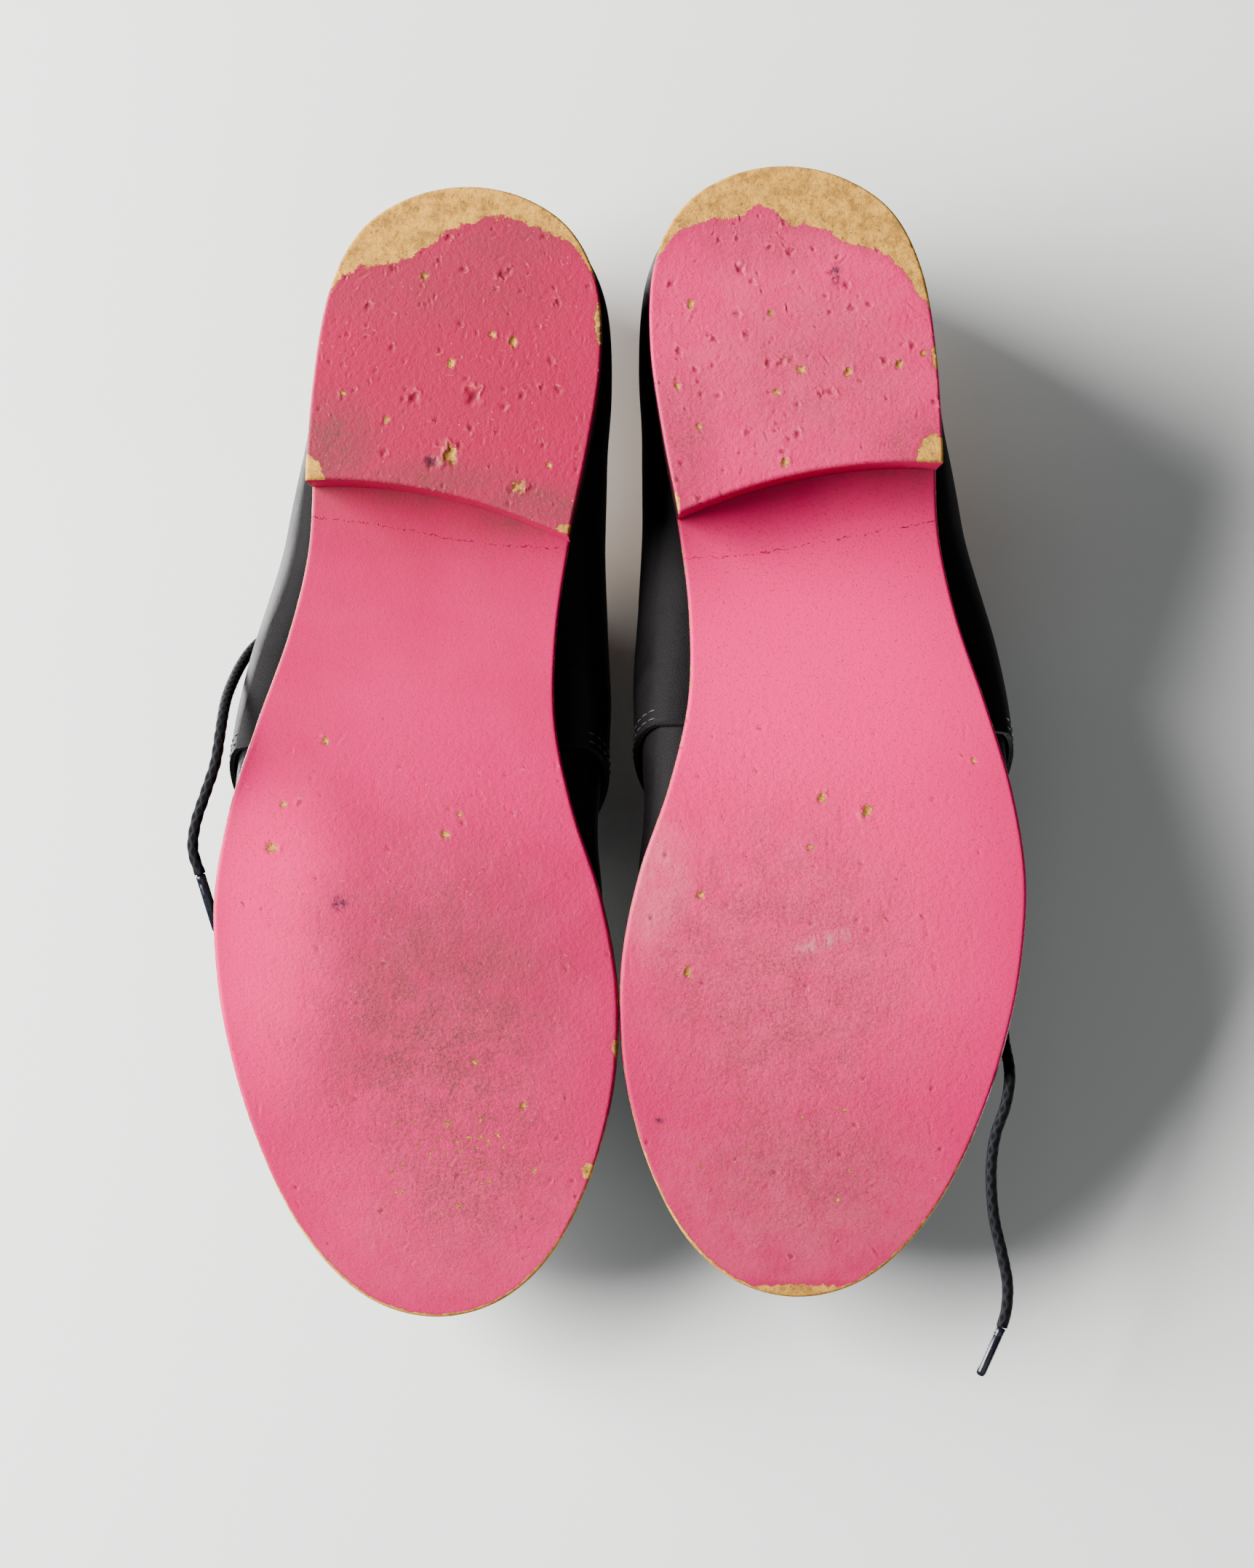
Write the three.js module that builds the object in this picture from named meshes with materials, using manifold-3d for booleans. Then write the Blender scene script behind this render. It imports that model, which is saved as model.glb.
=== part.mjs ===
// A pair of men's lace-up derby shoes with painted leather soles, size EU 43.
// Units are millimetres, +Z up. The soles stand on z = 0, the toes point to -Y and the left shoe is at +X.
// One shoe is drawn in its own frame: x grows to the outer (lateral) side, y runs from the toe (-) to the
// heel (+). The right shoe is the same drawing mirrored.

import * as THREE from 'three';
import { mergeVertices } from 'three/addons/utils/BufferGeometryUtils.js';
import Module from 'manifold-3d';

const wasm = await Module();
wasm.setup();

// ---- driving dimensions ----

const SOLE_LENGTH = 302;
const BALL_WIDTH = 107;
const SOLE_THICKNESS = 4.5;
const HEEL_HEIGHT = 20;
const TOP_LIFT_THICKNESS = 6;
const TOE_SPRING = 10.5;
const LAST_HEIGHT = 95;
const COLLAR_HEIGHT = 62;

const GAP = 0.3;
const FEATHER_GAP = 0.5;
const LAP_GAP = 0.95;
const QUARTER_INNER = 0.3;
const UPPER_THICKNESS = 1.4;
const LINING_THICKNESS = 0.8;
const COUNTER_THICKNESS = 1.3;
const PUFF_THICKNESS = 1;
const TONGUE_THICKNESS = 1.4;
const TONGUE_FRONT_REACH = 17;
const TONGUE_BACK_REACH = 23;
const STAY_THICKNESS = 1.2;

const FILLER_THICKNESS = 1.7;
const INSOLE_THICKNESS = 2;
const SOCK_THICKNESS = 1;
const SHANK_THICKNESS = 1.2;
const SHANK_WIDTH = 13;

const FEATHER_INSET = 3;
const WAIST_INSET = 1.5;
const INSOLE_CLEARANCE = 0.01028 * BALL_WIDTH;
const FILLER_MARGIN = 4;
const FILLER_FROM = 0.6;
const FILLER_TO = 0.93;
const SHANK_FROM = 0.14;
const SHANK_TO = 0.57;
const SHANK_SIDE = 3;
const SHANK_LIFT = 0.1;

const BREAST_LATERAL = 78;
const BREAST_MEDIAL = 93;
const BREAST_HOLLOW = 4.5;

const FACING_GAP = 7;
const EYELET_EDGE = 10;
const LACE_DIAMETER = 3.1;
const LACE_CLEARANCE = 0.5;
const EYELET_BORE = LACE_DIAMETER / 2 + LACE_CLEARANCE;
const EYELET_WALL = 0.5;
const EYELET_FLANGE = 3.6;
const EYELET_RIM = 0.6;
const EYELET_FIRST = 0.548;
const EYELET_STEP = 13;
const EYELET_PAIRS = 4;

const AGLET_DIAMETER = 2.7;

// Where the shoes stand: each one's widest medial point from x = 0, and its middle along y.
const LEFT_CLEARANCE = 0.8;
const RIGHT_CLEARANCE = 1.7;
const LEFT_MIDDLE = -4.85;
const RIGHT_MIDDLE = 0.55;
const RIGHT_TURN = THREE.MathUtils.degToRad(1.1);

// Loose ends of the laces in the shoe's frame, from the top eyelet down to the aglet.
const LEFT_LATERAL_END = [
  [23.3, 24.6, 100.2], [25.7, 25.5, 98.9], [32, 30, 95.1], [37.1, 33.7, 90.5], [42.1, 35.9, 84.2],
  [46.8, 36.6, 76.1], [51.2, 35.9, 66.4], [54.9, 33, 56.2], [57.9, 28, 45.2], [59.8, 18, 22],
  [59.9, 13, 12], [60, 6, 4], [61, -2, 1.7], [63.6, -10, 1.7], [66.2, -18, 1.7],
  [67, -25, 1.9], [65.2, -31.6, 2.7],
];
const RIGHT_LATERAL_END = [
  [23.3, 24.6, 100.2], [25.7, 25.5, 98.9], [33.3, 22.5, 91.3], [40.9, 13.7, 80.6], [47.3, 3.2, 69.1],
  [52.8, -9.2, 57.4], [56.5, -21.5, 47.2], [58.3, -33.6, 38.9], [59, -45.5, 32.4], [59.3, -57.5, 27],
  [58.8, -69.7, 22], [58, -79.5, 17.7], [58.6, -88, 8.5], [58.2, -92, 4.2], [56.9, -98, 1.9],
  [54.6, -105, 1.7], [53.6, -112, 1.7], [53.6, -119, 1.7], [54.6, -128, 1.7], [56.8, -137, 1.7],
  [58.4, -145, 1.7], [58.2, -152, 1.7], [57.1, -156.4, 1.7],
];
const MEDIAL_END = [
  [-31.5, 24.9, 85.7], [-33.1, 25.7, 83.4], [-34.4, 22.6, 79.6], [-34.3, 15.2, 76.2], [-33.9, 5.7, 70.8],
  [-33.7, -4.2, 65.9], [-32.7, -15.2, 62.4], [-31.4, -25.9, 60.1], [-29.8, -35.2, 58.5], [-28.1, -45.8, 57],
  [-27, -56.4, 55.7], [-26.6, -66.9, 53.9], [-26.6, -75.8, 52.1],
];
const LEFT_LATERAL_TIP = [61, -47.2, 7.2];
const RIGHT_LATERAL_TIP = [51.5, -169.5, 1.7];
const MEDIAL_TIP = [-26.9, -89.3, 49.3];

// ---- profiles of the last, by share of the sole's length from the heel ----

// Edge of the sole: share of the length, lateral edge and medial edge as shares of the ball width.
const EDGE = [
  [0, -0.056, -0.056],
  [0.009, 0.081, -0.193],
  [0.034, 0.196, -0.303],
  [0.086, 0.281, -0.379],
  [0.162, 0.324, -0.386],
  [0.238, 0.343, -0.351],
  [0.315, 0.356, -0.305],
  [0.394, 0.404, -0.275],
  [0.47, 0.474, -0.274],
  [0.546, 0.537, -0.318],
  [0.623, 0.572, -0.388],
  [0.699, 0.564, -0.428],
  [0.775, 0.524, -0.426],
  [0.851, 0.456, -0.383],
  [0.904, 0.388, -0.326],
  [0.955, 0.287, -0.236],
  [0.98, 0.207, -0.157],
  [1, 0.025, 0.025],
];

const WAIST_RISE = [
  [0, 1], [0.315, 1], [0.364, 0.88], [0.43, 0.6], [0.497, 0.32], [0.563, 0.11], [0.61, 0.02], [0.635, 0],
  [1, 0],
];
const TOE_RISE = [
  [0, 0], [0.72, 0], [0.78, 0.08], [0.844, 0.25], [0.91, 0.505], [0.96, 0.76], [1, 1],
];
const RIDGE_RISE = [
  [0, 0.96], [0.093, 0.984], [0.2, 0.995], [0.27, 0.984], [0.33, 0.958], [0.39, 0.905], [0.43, 0.874],
  [0.5, 0.794], [0.57, 0.716], [0.66, 0.626], [0.75, 0.554], [0.83, 0.479], [0.89, 0.385], [0.92, 0.326],
];
const RIDGE_SIDE = [[0, -5.5], [0.093, -5], [0.39, -2], [0.66, 2], [0.83, 3.5], [1, 2.7]];
const LATERAL_BULGE = [
  [0, 2.5], [0.1, 3], [0.2, 4.5], [0.3, 9.5], [0.4, 11.5], [0.47, 9], [0.55, 4.5], [0.65, 1.5], [1, 1.2],
];
const MEDIAL_BULGE = [
  [0, 2.5], [0.1, 2.5], [0.2, 4.2], [0.3, 9.5], [0.38, 13.8], [0.45, 15.6], [0.52, 13], [0.6, 6],
  [0.68, 2], [0.75, 1.2], [1, 1.2],
];
const COLLAR_RISE = [
  [0, 1], [0.1, 0.93], [0.2, 0.83], [0.27, 0.84], [0.33, 1], [0.365, 1.2], [0.385, 1.38], [0.4, 1.6], [1, 1.6],
];

const ROUNDNESS = 2.4;
const HEEL_LEAN = 0.093;
const HEEL_ZONE = 0.2;
const TOE_LEAN = 0.08;
const TOE_ZONE = 0.17;

const MATERIALS = {
  paint: { color: 0xf2709a, roughness: 0.5, metalness: 0 },
  leather: { color: 0x1b1a1c, roughness: 0.6, metalness: 0 },
  tan: { color: 0xc99a68, roughness: 0.8, metalness: 0 },
  board: { color: 0xb59a74, roughness: 0.9, metalness: 0 },
  cork: { color: 0xa87b4f, roughness: 0.95, metalness: 0 },
  steel: { color: 0x8c8f92, roughness: 0.4, metalness: 0.9 },
  felt: { color: 0xd8d0c0, roughness: 0.95, metalness: 0 },
  enamel: { color: 0x141415, roughness: 0.35, metalness: 0.6 },
  cotton: { color: 0x16171c, roughness: 0.85, metalness: 0 },
  plastic: { color: 0x0d0d10, roughness: 0.25, metalness: 0 },
};

// ---- curves ----

// A smooth function through the points. With flat set it never passes beyond two neighbouring values.
function through(points, flat = false) {
  const last = points.length - 1;
  const step = (i) => (points[i + 1][1] - points[i][1]) / (points[i + 1][0] - points[i][0]);
  const slopes = points.map((point, i) => {
    if (i === 0) return step(0);
    if (i === last) return step(last - 1);
    const before = step(i - 1);
    const after = step(i);
    if (flat && before * after <= 0) return 0;
    if (flat) return (2 * before * after) / (before + after);
    const near = points[i][0] - points[i - 1][0];
    const far = points[i + 1][0] - points[i][0];
    return (before * far + after * near) / (near + far);
  });
  return (x) => {
    let i = 0;
    while (i < last - 1 && x > points[i + 1][0]) i += 1;
    const span = points[i + 1][0] - points[i][0];
    const t = THREE.MathUtils.clamp((x - points[i][0]) / span, 0, 1);
    const rise = points[i + 1][1] - points[i][1];
    const start = slopes[i] * span;
    const end = slopes[i + 1] * span;
    return points[i][1] + t * (start + t * (3 * rise - 2 * start - end + t * (start + end - 2 * rise)));
  };
}

// Stations crowd towards the toe and the heel, where the outline turns round.
const shareAt = (station) => (1 - Math.cos(Math.PI * station)) / 2;
const stationAt = (share) => Math.acos(1 - 2 * share) / Math.PI;

const lateralEdge = through(EDGE.map(([share, lateral]) => [stationAt(share), lateral * BALL_WIDTH]));
const medialEdge = through(EDGE.map(([share, , medial]) => [stationAt(share), medial * BALL_WIDTH]));
const waistRise = through(WAIST_RISE, true);
const toeRise = through(TOE_RISE, true);
const ridgeRise = through(RIDGE_RISE);
const ridgeSide = through(RIDGE_SIDE);
const lateralBulge = through(LATERAL_BULGE, true);
const medialBulge = through(MEDIAL_BULGE, true);
const collarRise = through(COLLAR_RISE, true);
const FEATHER = [[0, WAIST_INSET], [0.45, WAIST_INSET], [0.62, FEATHER_INSET], [1, FEATHER_INSET]];
const featherInset = through(FEATHER, true);

const groundAt = (share) => HEEL_HEIGHT * waistRise(share) + TOE_SPRING * toeRise(share);
const soleTopAt = (share) => groundAt(share) + SOLE_THICKNESS;
const yAt = (share) => SOLE_LENGTH * (0.5 - share);
const shareOf = (y) => THREE.MathUtils.clamp(0.5 - y / SOLE_LENGTH, 0, 1);

// side is 1 on the lateral side and -1 on the medial side.
function edgePoint(side, station) {
  const x = side > 0 ? lateralEdge(station) : medialEdge(station);
  return new THREE.Vector2(x, yAt(shareAt(station)));
}

function edgeNormal(side, station) {
  const reach = 0.002;
  if (station < reach || station > 1 - reach) return new THREE.Vector2(0, station < 0.5 ? 1 : -1);
  const along = edgePoint(side, station + reach).sub(edgePoint(side, station - reach));
  return new THREE.Vector2(-along.y * side, along.x * side).normalize();
}

function insetPoint(side, station, inset) {
  return edgePoint(side, station).addScaledVector(edgeNormal(side, station), -inset);
}

// ---- the last: the form that the upper is stretched over ----

function ridgeShareAt(share) {
  if (share < HEEL_ZONE) return share + HEEL_LEAN * (1 - share / HEEL_ZONE) ** 2;
  if (share > 1 - TOE_ZONE) return share - TOE_LEAN * ((share - 1 + TOE_ZONE) / TOE_ZONE) ** 2;
  return share;
}

// height runs from 0 at the feather edge to 1 on the ridge.
function lastSkin(side, station, height) {
  const share = shareAt(station);
  const base = insetPoint(side, station, featherInset(share));
  const top = ridgeShareAt(share);
  const ridge = new THREE.Vector2(ridgeSide(top), yAt(top));
  const angle = THREE.MathUtils.clamp(height, 0, 1) * Math.PI / 2;
  const across = Math.max(Math.cos(angle), 0) ** (2 / ROUNDNESS);
  const up = Math.sin(angle) ** (2 / ROUNDNESS);
  const belly = up ** 0.6;
  const bulge = (side > 0 ? lateralBulge(share) : medialBulge(share)) * 4 * belly * (1 - belly);
  const spot = ridge.clone().lerp(base, across).addScaledVector(edgeNormal(side, station), bulge);
  const low = soleTopAt(share) + FEATHER_GAP;
  const high = soleTopAt(top) + LAST_HEIGHT * ridgeRise(top);
  return new THREE.Vector3(spot.x, spot.y, low + (high - low) * up);
}

function plainNormal(side, station, height) {
  const reach = 0.004;
  const s = THREE.MathUtils.clamp(station, reach, 1 - reach);
  const h = THREE.MathUtils.clamp(height, reach, 1 - reach);
  const along = lastSkin(side, s + reach, h).sub(lastSkin(side, s - reach, h));
  const up = lastSkin(side, s, h + reach).sub(lastSkin(side, s, h - reach));
  return along.cross(up).multiplyScalar(-side).normalize();
}

// Both sides share one normal where they meet: at the toe, at the heel and on the ridge.
function lastNormal(side, station, height) {
  const seam = station < 0.002 || station > 0.998 || height > 0.998;
  if (!seam) return plainNormal(side, station, height);
  return plainNormal(1, station, height).add(plainNormal(-1, station, height)).normalize();
}

// A point off the last. The leather never leans down past level, so it stays on top of the sole.
function onLast(side, station, height, offset) {
  const normal = lastNormal(side, station, height);
  normal.z = Math.max(normal.z, 0);
  return lastSkin(side, station, height).addScaledVector(normal.normalize(), offset);
}

// Height on the last at which its wall is this far above the feather edge.
function heightForRise(share, rise) {
  const top = ridgeShareAt(share);
  const full = soleTopAt(top) + LAST_HEIGHT * ridgeRise(top) - soleTopAt(share);
  const part = THREE.MathUtils.clamp(rise / full, 0, 1);
  return Math.asin(part ** (ROUNDNESS / 2)) / (Math.PI / 2);
}

// Height on the last at which its surface is this far from the ridge, measured flat.
function heightForReach(side, station, reach) {
  const share = shareAt(station);
  const top = ridgeShareAt(share);
  const ridge = new THREE.Vector2(ridgeSide(top), yAt(top));
  const base = insetPoint(side, station, featherInset(share));
  const part = THREE.MathUtils.clamp(reach / base.distanceTo(ridge), 0, 1);
  return Math.acos(part ** (ROUNDNESS / 2)) / (Math.PI / 2);
}

function quarterTop(side, station) {
  const share = shareAt(station);
  const collar = heightForRise(share, COLLAR_HEIGHT * collarRise(share));
  return Math.min(collar, heightForReach(side, station, FACING_GAP));
}

// ---- solids ----

// A closed geometry from points and triangles. Points in one place become one, and flat triangles go.
function closed(points, triangles) {
  const geometry = new THREE.BufferGeometry();
  const flat = points.flatMap((point) => [point.x, point.y, point.z]);
  geometry.setAttribute('position', new THREE.Float32BufferAttribute(flat, 3));
  geometry.setIndex(triangles.flat());
  const merged = mergeVertices(geometry, 0.01);
  const index = Array.from(merged.index.array);
  const kept = [];
  for (let i = 0; i < index.length; i += 3) {
    const [a, b, c] = index.slice(i, i + 3);
    if (a !== b && b !== c && a !== c) kept.push(a, b, c);
  }
  merged.setIndex(kept);
  return merged;
}

// A sheet of leather on the last: place(i, j, offset) gives the point at i of columns and j of rows.
// zipped says that the top row folds onto itself, so that it needs no rim.
function sheet(columns, rows, inner, outer, place, { zipped = false } = {}) {
  const points = [];
  for (const offset of [outer, inner]) {
    for (let i = 0; i <= columns; i += 1) {
      for (let j = 0; j <= rows; j += 1) points.push(place(i / columns, j / rows, offset));
    }
  }
  const layer = (columns + 1) * (rows + 1);
  const at = (i, j, k) => k * layer + i * (rows + 1) + j;
  const triangles = [];
  const quad = (a, b, c, d) => triangles.push([a, b, c], [a, c, d]);
  for (let i = 0; i < columns; i += 1) {
    for (let j = 0; j < rows; j += 1) {
      quad(at(i, j, 0), at(i + 1, j, 0), at(i + 1, j + 1, 0), at(i, j + 1, 0));
      quad(at(i, j, 1), at(i, j + 1, 1), at(i + 1, j + 1, 1), at(i + 1, j, 1));
    }
    quad(at(i, 0, 0), at(i, 0, 1), at(i + 1, 0, 1), at(i + 1, 0, 0));
    if (!zipped) quad(at(i, rows, 0), at(i + 1, rows, 0), at(i + 1, rows, 1), at(i, rows, 1));
  }
  for (let j = 0; j < rows; j += 1) {
    quad(at(0, j, 0), at(0, j + 1, 0), at(0, j + 1, 1), at(0, j, 1));
    quad(at(columns, j, 0), at(columns, j, 1), at(columns, j + 1, 1), at(columns, j + 1, 0));
  }
  return outward(closed(points, triangles));
}

// Turns the faces of a closed geometry outward if they point inward.
function outward(geometry) {
  const position = geometry.attributes.position;
  const index = geometry.index.array;
  const corner = (i) => new THREE.Vector3().fromBufferAttribute(position, index[i]);
  let volume = 0;
  for (let i = 0; i < index.length; i += 3) volume += corner(i).dot(corner(i + 1).cross(corner(i + 2)));
  if (volume > 0) return geometry;
  const turned = [];
  for (let i = 0; i < index.length; i += 3) turned.push(index[i], index[i + 2], index[i + 1]);
  geometry.setIndex(turned);
  return geometry;
}

// A flat layer of the sole: its two edges at each station, from low to high above the ground line.
function layer(from, to, stations, edges, low, high) {
  const points = [];
  const triangles = [];
  for (let i = 0; i <= stations; i += 1) {
    const [lateral, medial] = edges(from + (to - from) * i / stations);
    for (const [spot, lift] of [[lateral, low], [medial, low], [medial, high], [lateral, high]]) {
      points.push(new THREE.Vector3(spot.x, spot.y, groundAt(shareOf(spot.y)) + lift));
    }
  }
  for (let i = 0; i < stations; i += 1) {
    for (let k = 0; k < 4; k += 1) {
      const a = i * 4 + k;
      const b = i * 4 + ((k + 1) % 4);
      triangles.push([a, b, b + 4], [a, b + 4, a + 4]);
    }
  }
  const end = stations * 4;
  triangles.push([0, 2, 1], [0, 3, 2], [end, end + 1, end + 2], [end, end + 2, end + 3]);
  return outward(closed(points, triangles));
}

function toManifold(geometry) {
  const bare = geometry.clone();
  bare.deleteAttribute('normal');
  bare.deleteAttribute('uv');
  const merged = mergeVertices(bare);
  return new wasm.Manifold(new wasm.Mesh({
    numProp: 3,
    vertProperties: new Float32Array(merged.attributes.position.array),
    triVerts: new Uint32Array(merged.index.array),
  }));
}

function cut(geometry, tools) {
  let body = toManifold(geometry);
  for (const tool of tools) body = body.subtract(toManifold(tool));
  const mesh = body.getMesh();
  const result = new THREE.BufferGeometry();
  result.setAttribute('position', new THREE.Float32BufferAttribute(Array.from(mesh.vertProperties), 3));
  result.setIndex(Array.from(mesh.triVerts));
  return result;
}

// A curve that steps from one of its points to the next, however far apart they are.
class Route extends THREE.CatmullRomCurve3 {
  getPointAt(t) { return this.getPoint(t); }

  getTangentAt(t) { return this.getTangent(t); }

  getSpacedPoints(count) { return this.getPoints(count); }
}

function tube(points, diameter, stepsPerPoint) {
  const sides = 8;
  const section = new THREE.Shape();
  for (let i = 0; i < sides; i += 1) {
    const turn = 2 * Math.PI * i / sides;
    const spot = [diameter / 2 * Math.cos(turn), diameter / 2 * Math.sin(turn)];
    if (i === 0) section.moveTo(...spot);
    else section.lineTo(...spot);
  }
  section.closePath();
  const path = new Route(points, false, 'centripetal');
  const steps = (points.length - 1) * stepsPerPoint;
  return new THREE.ExtrudeGeometry(section, { steps, extrudePath: path, curveSegments: 1 });
}

// ---- sole and heel ----

const SOLE_STATIONS = 40;

function outsole() {
  const edges = (station) => [edgePoint(1, station), edgePoint(-1, station)];
  return layer(0, 1, SOLE_STATIONS, edges, 0, SOLE_THICKNESS);
}

function heelShape() {
  const lateralEnd = stationAt(BREAST_LATERAL / SOLE_LENGTH);
  const medialEnd = stationAt(BREAST_MEDIAL / SOLE_LENGTH);
  const count = 9;
  const shape = new THREE.Shape();
  const lateralCorner = edgePoint(1, lateralEnd);
  const medialCorner = edgePoint(-1, medialEnd);
  shape.moveTo(lateralCorner.x, lateralCorner.y);
  for (let i = count - 1; i >= 0; i -= 1) {
    const spot = edgePoint(1, lateralEnd * i / count);
    shape.lineTo(spot.x, spot.y);
  }
  for (let i = 1; i <= count; i += 1) {
    const spot = edgePoint(-1, medialEnd * i / count);
    shape.lineTo(spot.x, spot.y);
  }
  const middle = lateralCorner.clone().add(medialCorner).multiplyScalar(0.5);
  shape.quadraticCurveTo(middle.x, middle.y + 2 * BREAST_HOLLOW, lateralCorner.x, lateralCorner.y);
  return shape;
}

function heelBlock(low, high) {
  const options = { depth: high - low, bevelEnabled: false, curveSegments: 8 };
  return new THREE.ExtrudeGeometry(heelShape(), options).translate(0, 0, low);
}

const heelTopLift = () => heelBlock(0, TOP_LIFT_THICKNESS);
const heelStack = () => heelBlock(TOP_LIFT_THICKNESS + GAP, HEEL_HEIGHT - GAP);

// The insole reaches to a little inside the lining's foot, which stands this far in from the feather edge.
const liningFoot = UPPER_THICKNESS + PUFF_THICKNESS + LINING_THICKNESS + 2 * LAP_GAP + GAP - QUARTER_INNER;
const INSOLE_INSET = FEATHER_INSET + liningFoot + INSOLE_CLEARANCE;

const fillerLow = SOLE_THICKNESS + GAP;
const insoleLow = fillerLow + FILLER_THICKNESS + GAP;
const sockLow = insoleLow + INSOLE_THICKNESS + GAP;

function filler() {
  const edges = (station) => [1, -1].map((side) => insetPoint(side, station, INSOLE_INSET + FILLER_MARGIN));
  return layer(stationAt(FILLER_FROM), stationAt(FILLER_TO), 8, edges, fillerLow, fillerLow + FILLER_THICKNESS);
}

function shank() {
  const edges = (station) => [SHANK_WIDTH / 2, -SHANK_WIDTH / 2].map((reach) => {
    const share = shareAt(station);
    return new THREE.Vector2(ridgeSide(share) + SHANK_SIDE + reach, yAt(share));
  });
  const low = fillerLow + SHANK_LIFT;
  return layer(stationAt(SHANK_FROM), stationAt(SHANK_TO), SOLE_STATIONS / 2, edges, low, low + SHANK_THICKNESS);
}

function insole() {
  const edges = (station) => [1, -1].map((side) => insetPoint(side, station, INSOLE_INSET));
  return layer(0, 1, SOLE_STATIONS, edges, insoleLow, insoleLow + INSOLE_THICKNESS);
}

function sockLiner() {
  const edges = (station) => [1, -1].map((side) => insetPoint(side, station, INSOLE_INSET + GAP));
  return layer(0, 1, SOLE_STATIONS, edges, sockLow, sockLow + SOCK_THICKNESS);
}

// ---- upper: offsets from the last, from the inside out ----

const COUNTER_LEVEL = [-COUNTER_THICKNESS, 0];
const VAMP_LEVEL = [QUARTER_INNER - LAP_GAP - UPPER_THICKNESS, QUARTER_INNER - LAP_GAP];
const LINING_LEVEL = [VAMP_LEVEL[0] - LAP_GAP - LINING_THICKNESS, VAMP_LEVEL[0] - LAP_GAP];
const PUFF_LEVEL = [VAMP_LEVEL[0] - GAP - PUFF_THICKNESS, VAMP_LEVEL[0] - GAP];
const VAMP_LINING_LEVEL = [PUFF_LEVEL[0] - LAP_GAP - LINING_THICKNESS, PUFF_LEVEL[0] - LAP_GAP];
const QUARTER_LEVEL = [QUARTER_INNER, QUARTER_INNER + UPPER_THICKNESS];
const STAY_LEVEL = [QUARTER_LEVEL[1] + LAP_GAP, QUARTER_LEVEL[1] + LAP_GAP + STAY_THICKNESS];
const LACE_BEND_ROOM = 0.6;
const LACE_UNDER = LINING_LEVEL[0] - GAP - LACE_DIAMETER / 2 - LACE_BEND_ROOM;
const TONGUE_LEVEL = [
  LACE_UNDER - LACE_DIAMETER / 2 - GAP - TONGUE_THICKNESS, LACE_UNDER - LACE_DIAMETER / 2 - GAP,
];
const FLANGE_LEVEL = QUARTER_LEVEL[1] + GAP;
const LACE_OVER = FLANGE_LEVEL + EYELET_RIM + GAP + LACE_DIAMETER / 2;

const mix = THREE.MathUtils.lerp;
const spread = (t) => [t < 0.5 ? 1 : -1, Math.abs(2 * t - 1)];

// The vamp's back edge and, a lap further forward, the quarters' front edge, by row from the sole up.
const LAP = 0.028;
const VAMP_LOW = 0.465;
const VAMP_HIGH = 0.575;
const VAMP_BACK_CURVE = 1.4;
const vampBack = (t) => mix(VAMP_LOW, VAMP_HIGH, Math.sin(Math.min(1, VAMP_BACK_CURVE * t) * Math.PI / 2));
const quarterFront = (t) => vampBack(t) + LAP;

// The sheets of the forepart, and those of the back part, share one grid so that their faces run parallel.
const FORE_COLUMNS = Math.ceil(BALL_WIDTH / 8.25);
const FORE_ROWS = 6;
const BACK_COLUMNS = Math.ceil(BALL_WIDTH / 7.2);
const BACK_ROWS = 6;

// Covers the forepart from one side round the toe to the other, as far as these columns and rows reach.
// Full rows meet on the ridge. step takes every second row where it is 2.
function foreSheet(level, columns, rows, step = 1) {
  return sheet(2 * columns, rows / step, ...level, (s, t, offset) => {
    const [side, fromToe] = spread(s);
    const row = t * rows / FORE_ROWS;
    const station = mix(1, stationAt(vampBack(row)), fromToe * columns / FORE_COLUMNS);
    return onLast(side, station, row, offset);
  }, { zipped: rows === FORE_ROWS });
}

const vamp = () => foreSheet(VAMP_LEVEL, FORE_COLUMNS, FORE_ROWS);
const LINING_COLUMNS = 11;
const PUFF_COLUMNS = 5;
const PUFF_ROWS = 4;
const vampLining = () => foreSheet(VAMP_LINING_LEVEL, LINING_COLUMNS, FORE_ROWS, 2);
const toePuff = () => foreSheet(PUFF_LEVEL, PUFF_COLUMNS, PUFF_ROWS);

// Covers the back part from one side round the heel to the other.
function heelCounter() {
  const columns = 9;
  const rows = 4;
  return sheet(2 * columns, rows, ...COUNTER_LEVEL, (s, t, offset) => {
    const [side, fromHeel] = spread(s);
    const row = t * rows / BACK_ROWS;
    const station = stationAt(quarterFront(row)) * fromHeel * columns / BACK_COLUMNS;
    return onLast(side, station, quarterTop(side, station) * row, offset);
  });
}

// The lining ends behind the vamp's back edge, and a little under the collar.
const LINING_BACK = 0.006;
const LINING_DROP = 0.01;

function quarterLining() {
  return sheet(24, 7, ...LINING_LEVEL, (s, t, offset) => {
    const [side, fromHeel] = spread(s);
    const station = stationAt(vampBack(t) - LINING_BACK) * fromHeel;
    return onLast(side, station, (quarterTop(side, station) - LINING_DROP) * t, offset);
  });
}

const STAY_REACH = 0.034;
const QUARTER_SEAM = 0.008;

function backstay() {
  return sheet(4, BACK_ROWS, ...STAY_LEVEL, (s, t, offset) => {
    const [side, fromHeel] = spread(s);
    const station = STAY_REACH * fromHeel;
    return onLast(side, station, quarterTop(side, station) * t, offset);
  });
}

function quarter(side) {
  return sheet(BACK_COLUMNS, BACK_ROWS, ...QUARTER_LEVEL, (s, t, offset) => {
    const station = Math.max(QUARTER_SEAM, stationAt(quarterFront(t)) * s);
    return onLast(side, station, quarterTop(side, station) * t, offset);
  });
}

const TONGUE_FRONT = 0.605;
const TONGUE_BACK = 0.345;

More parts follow.
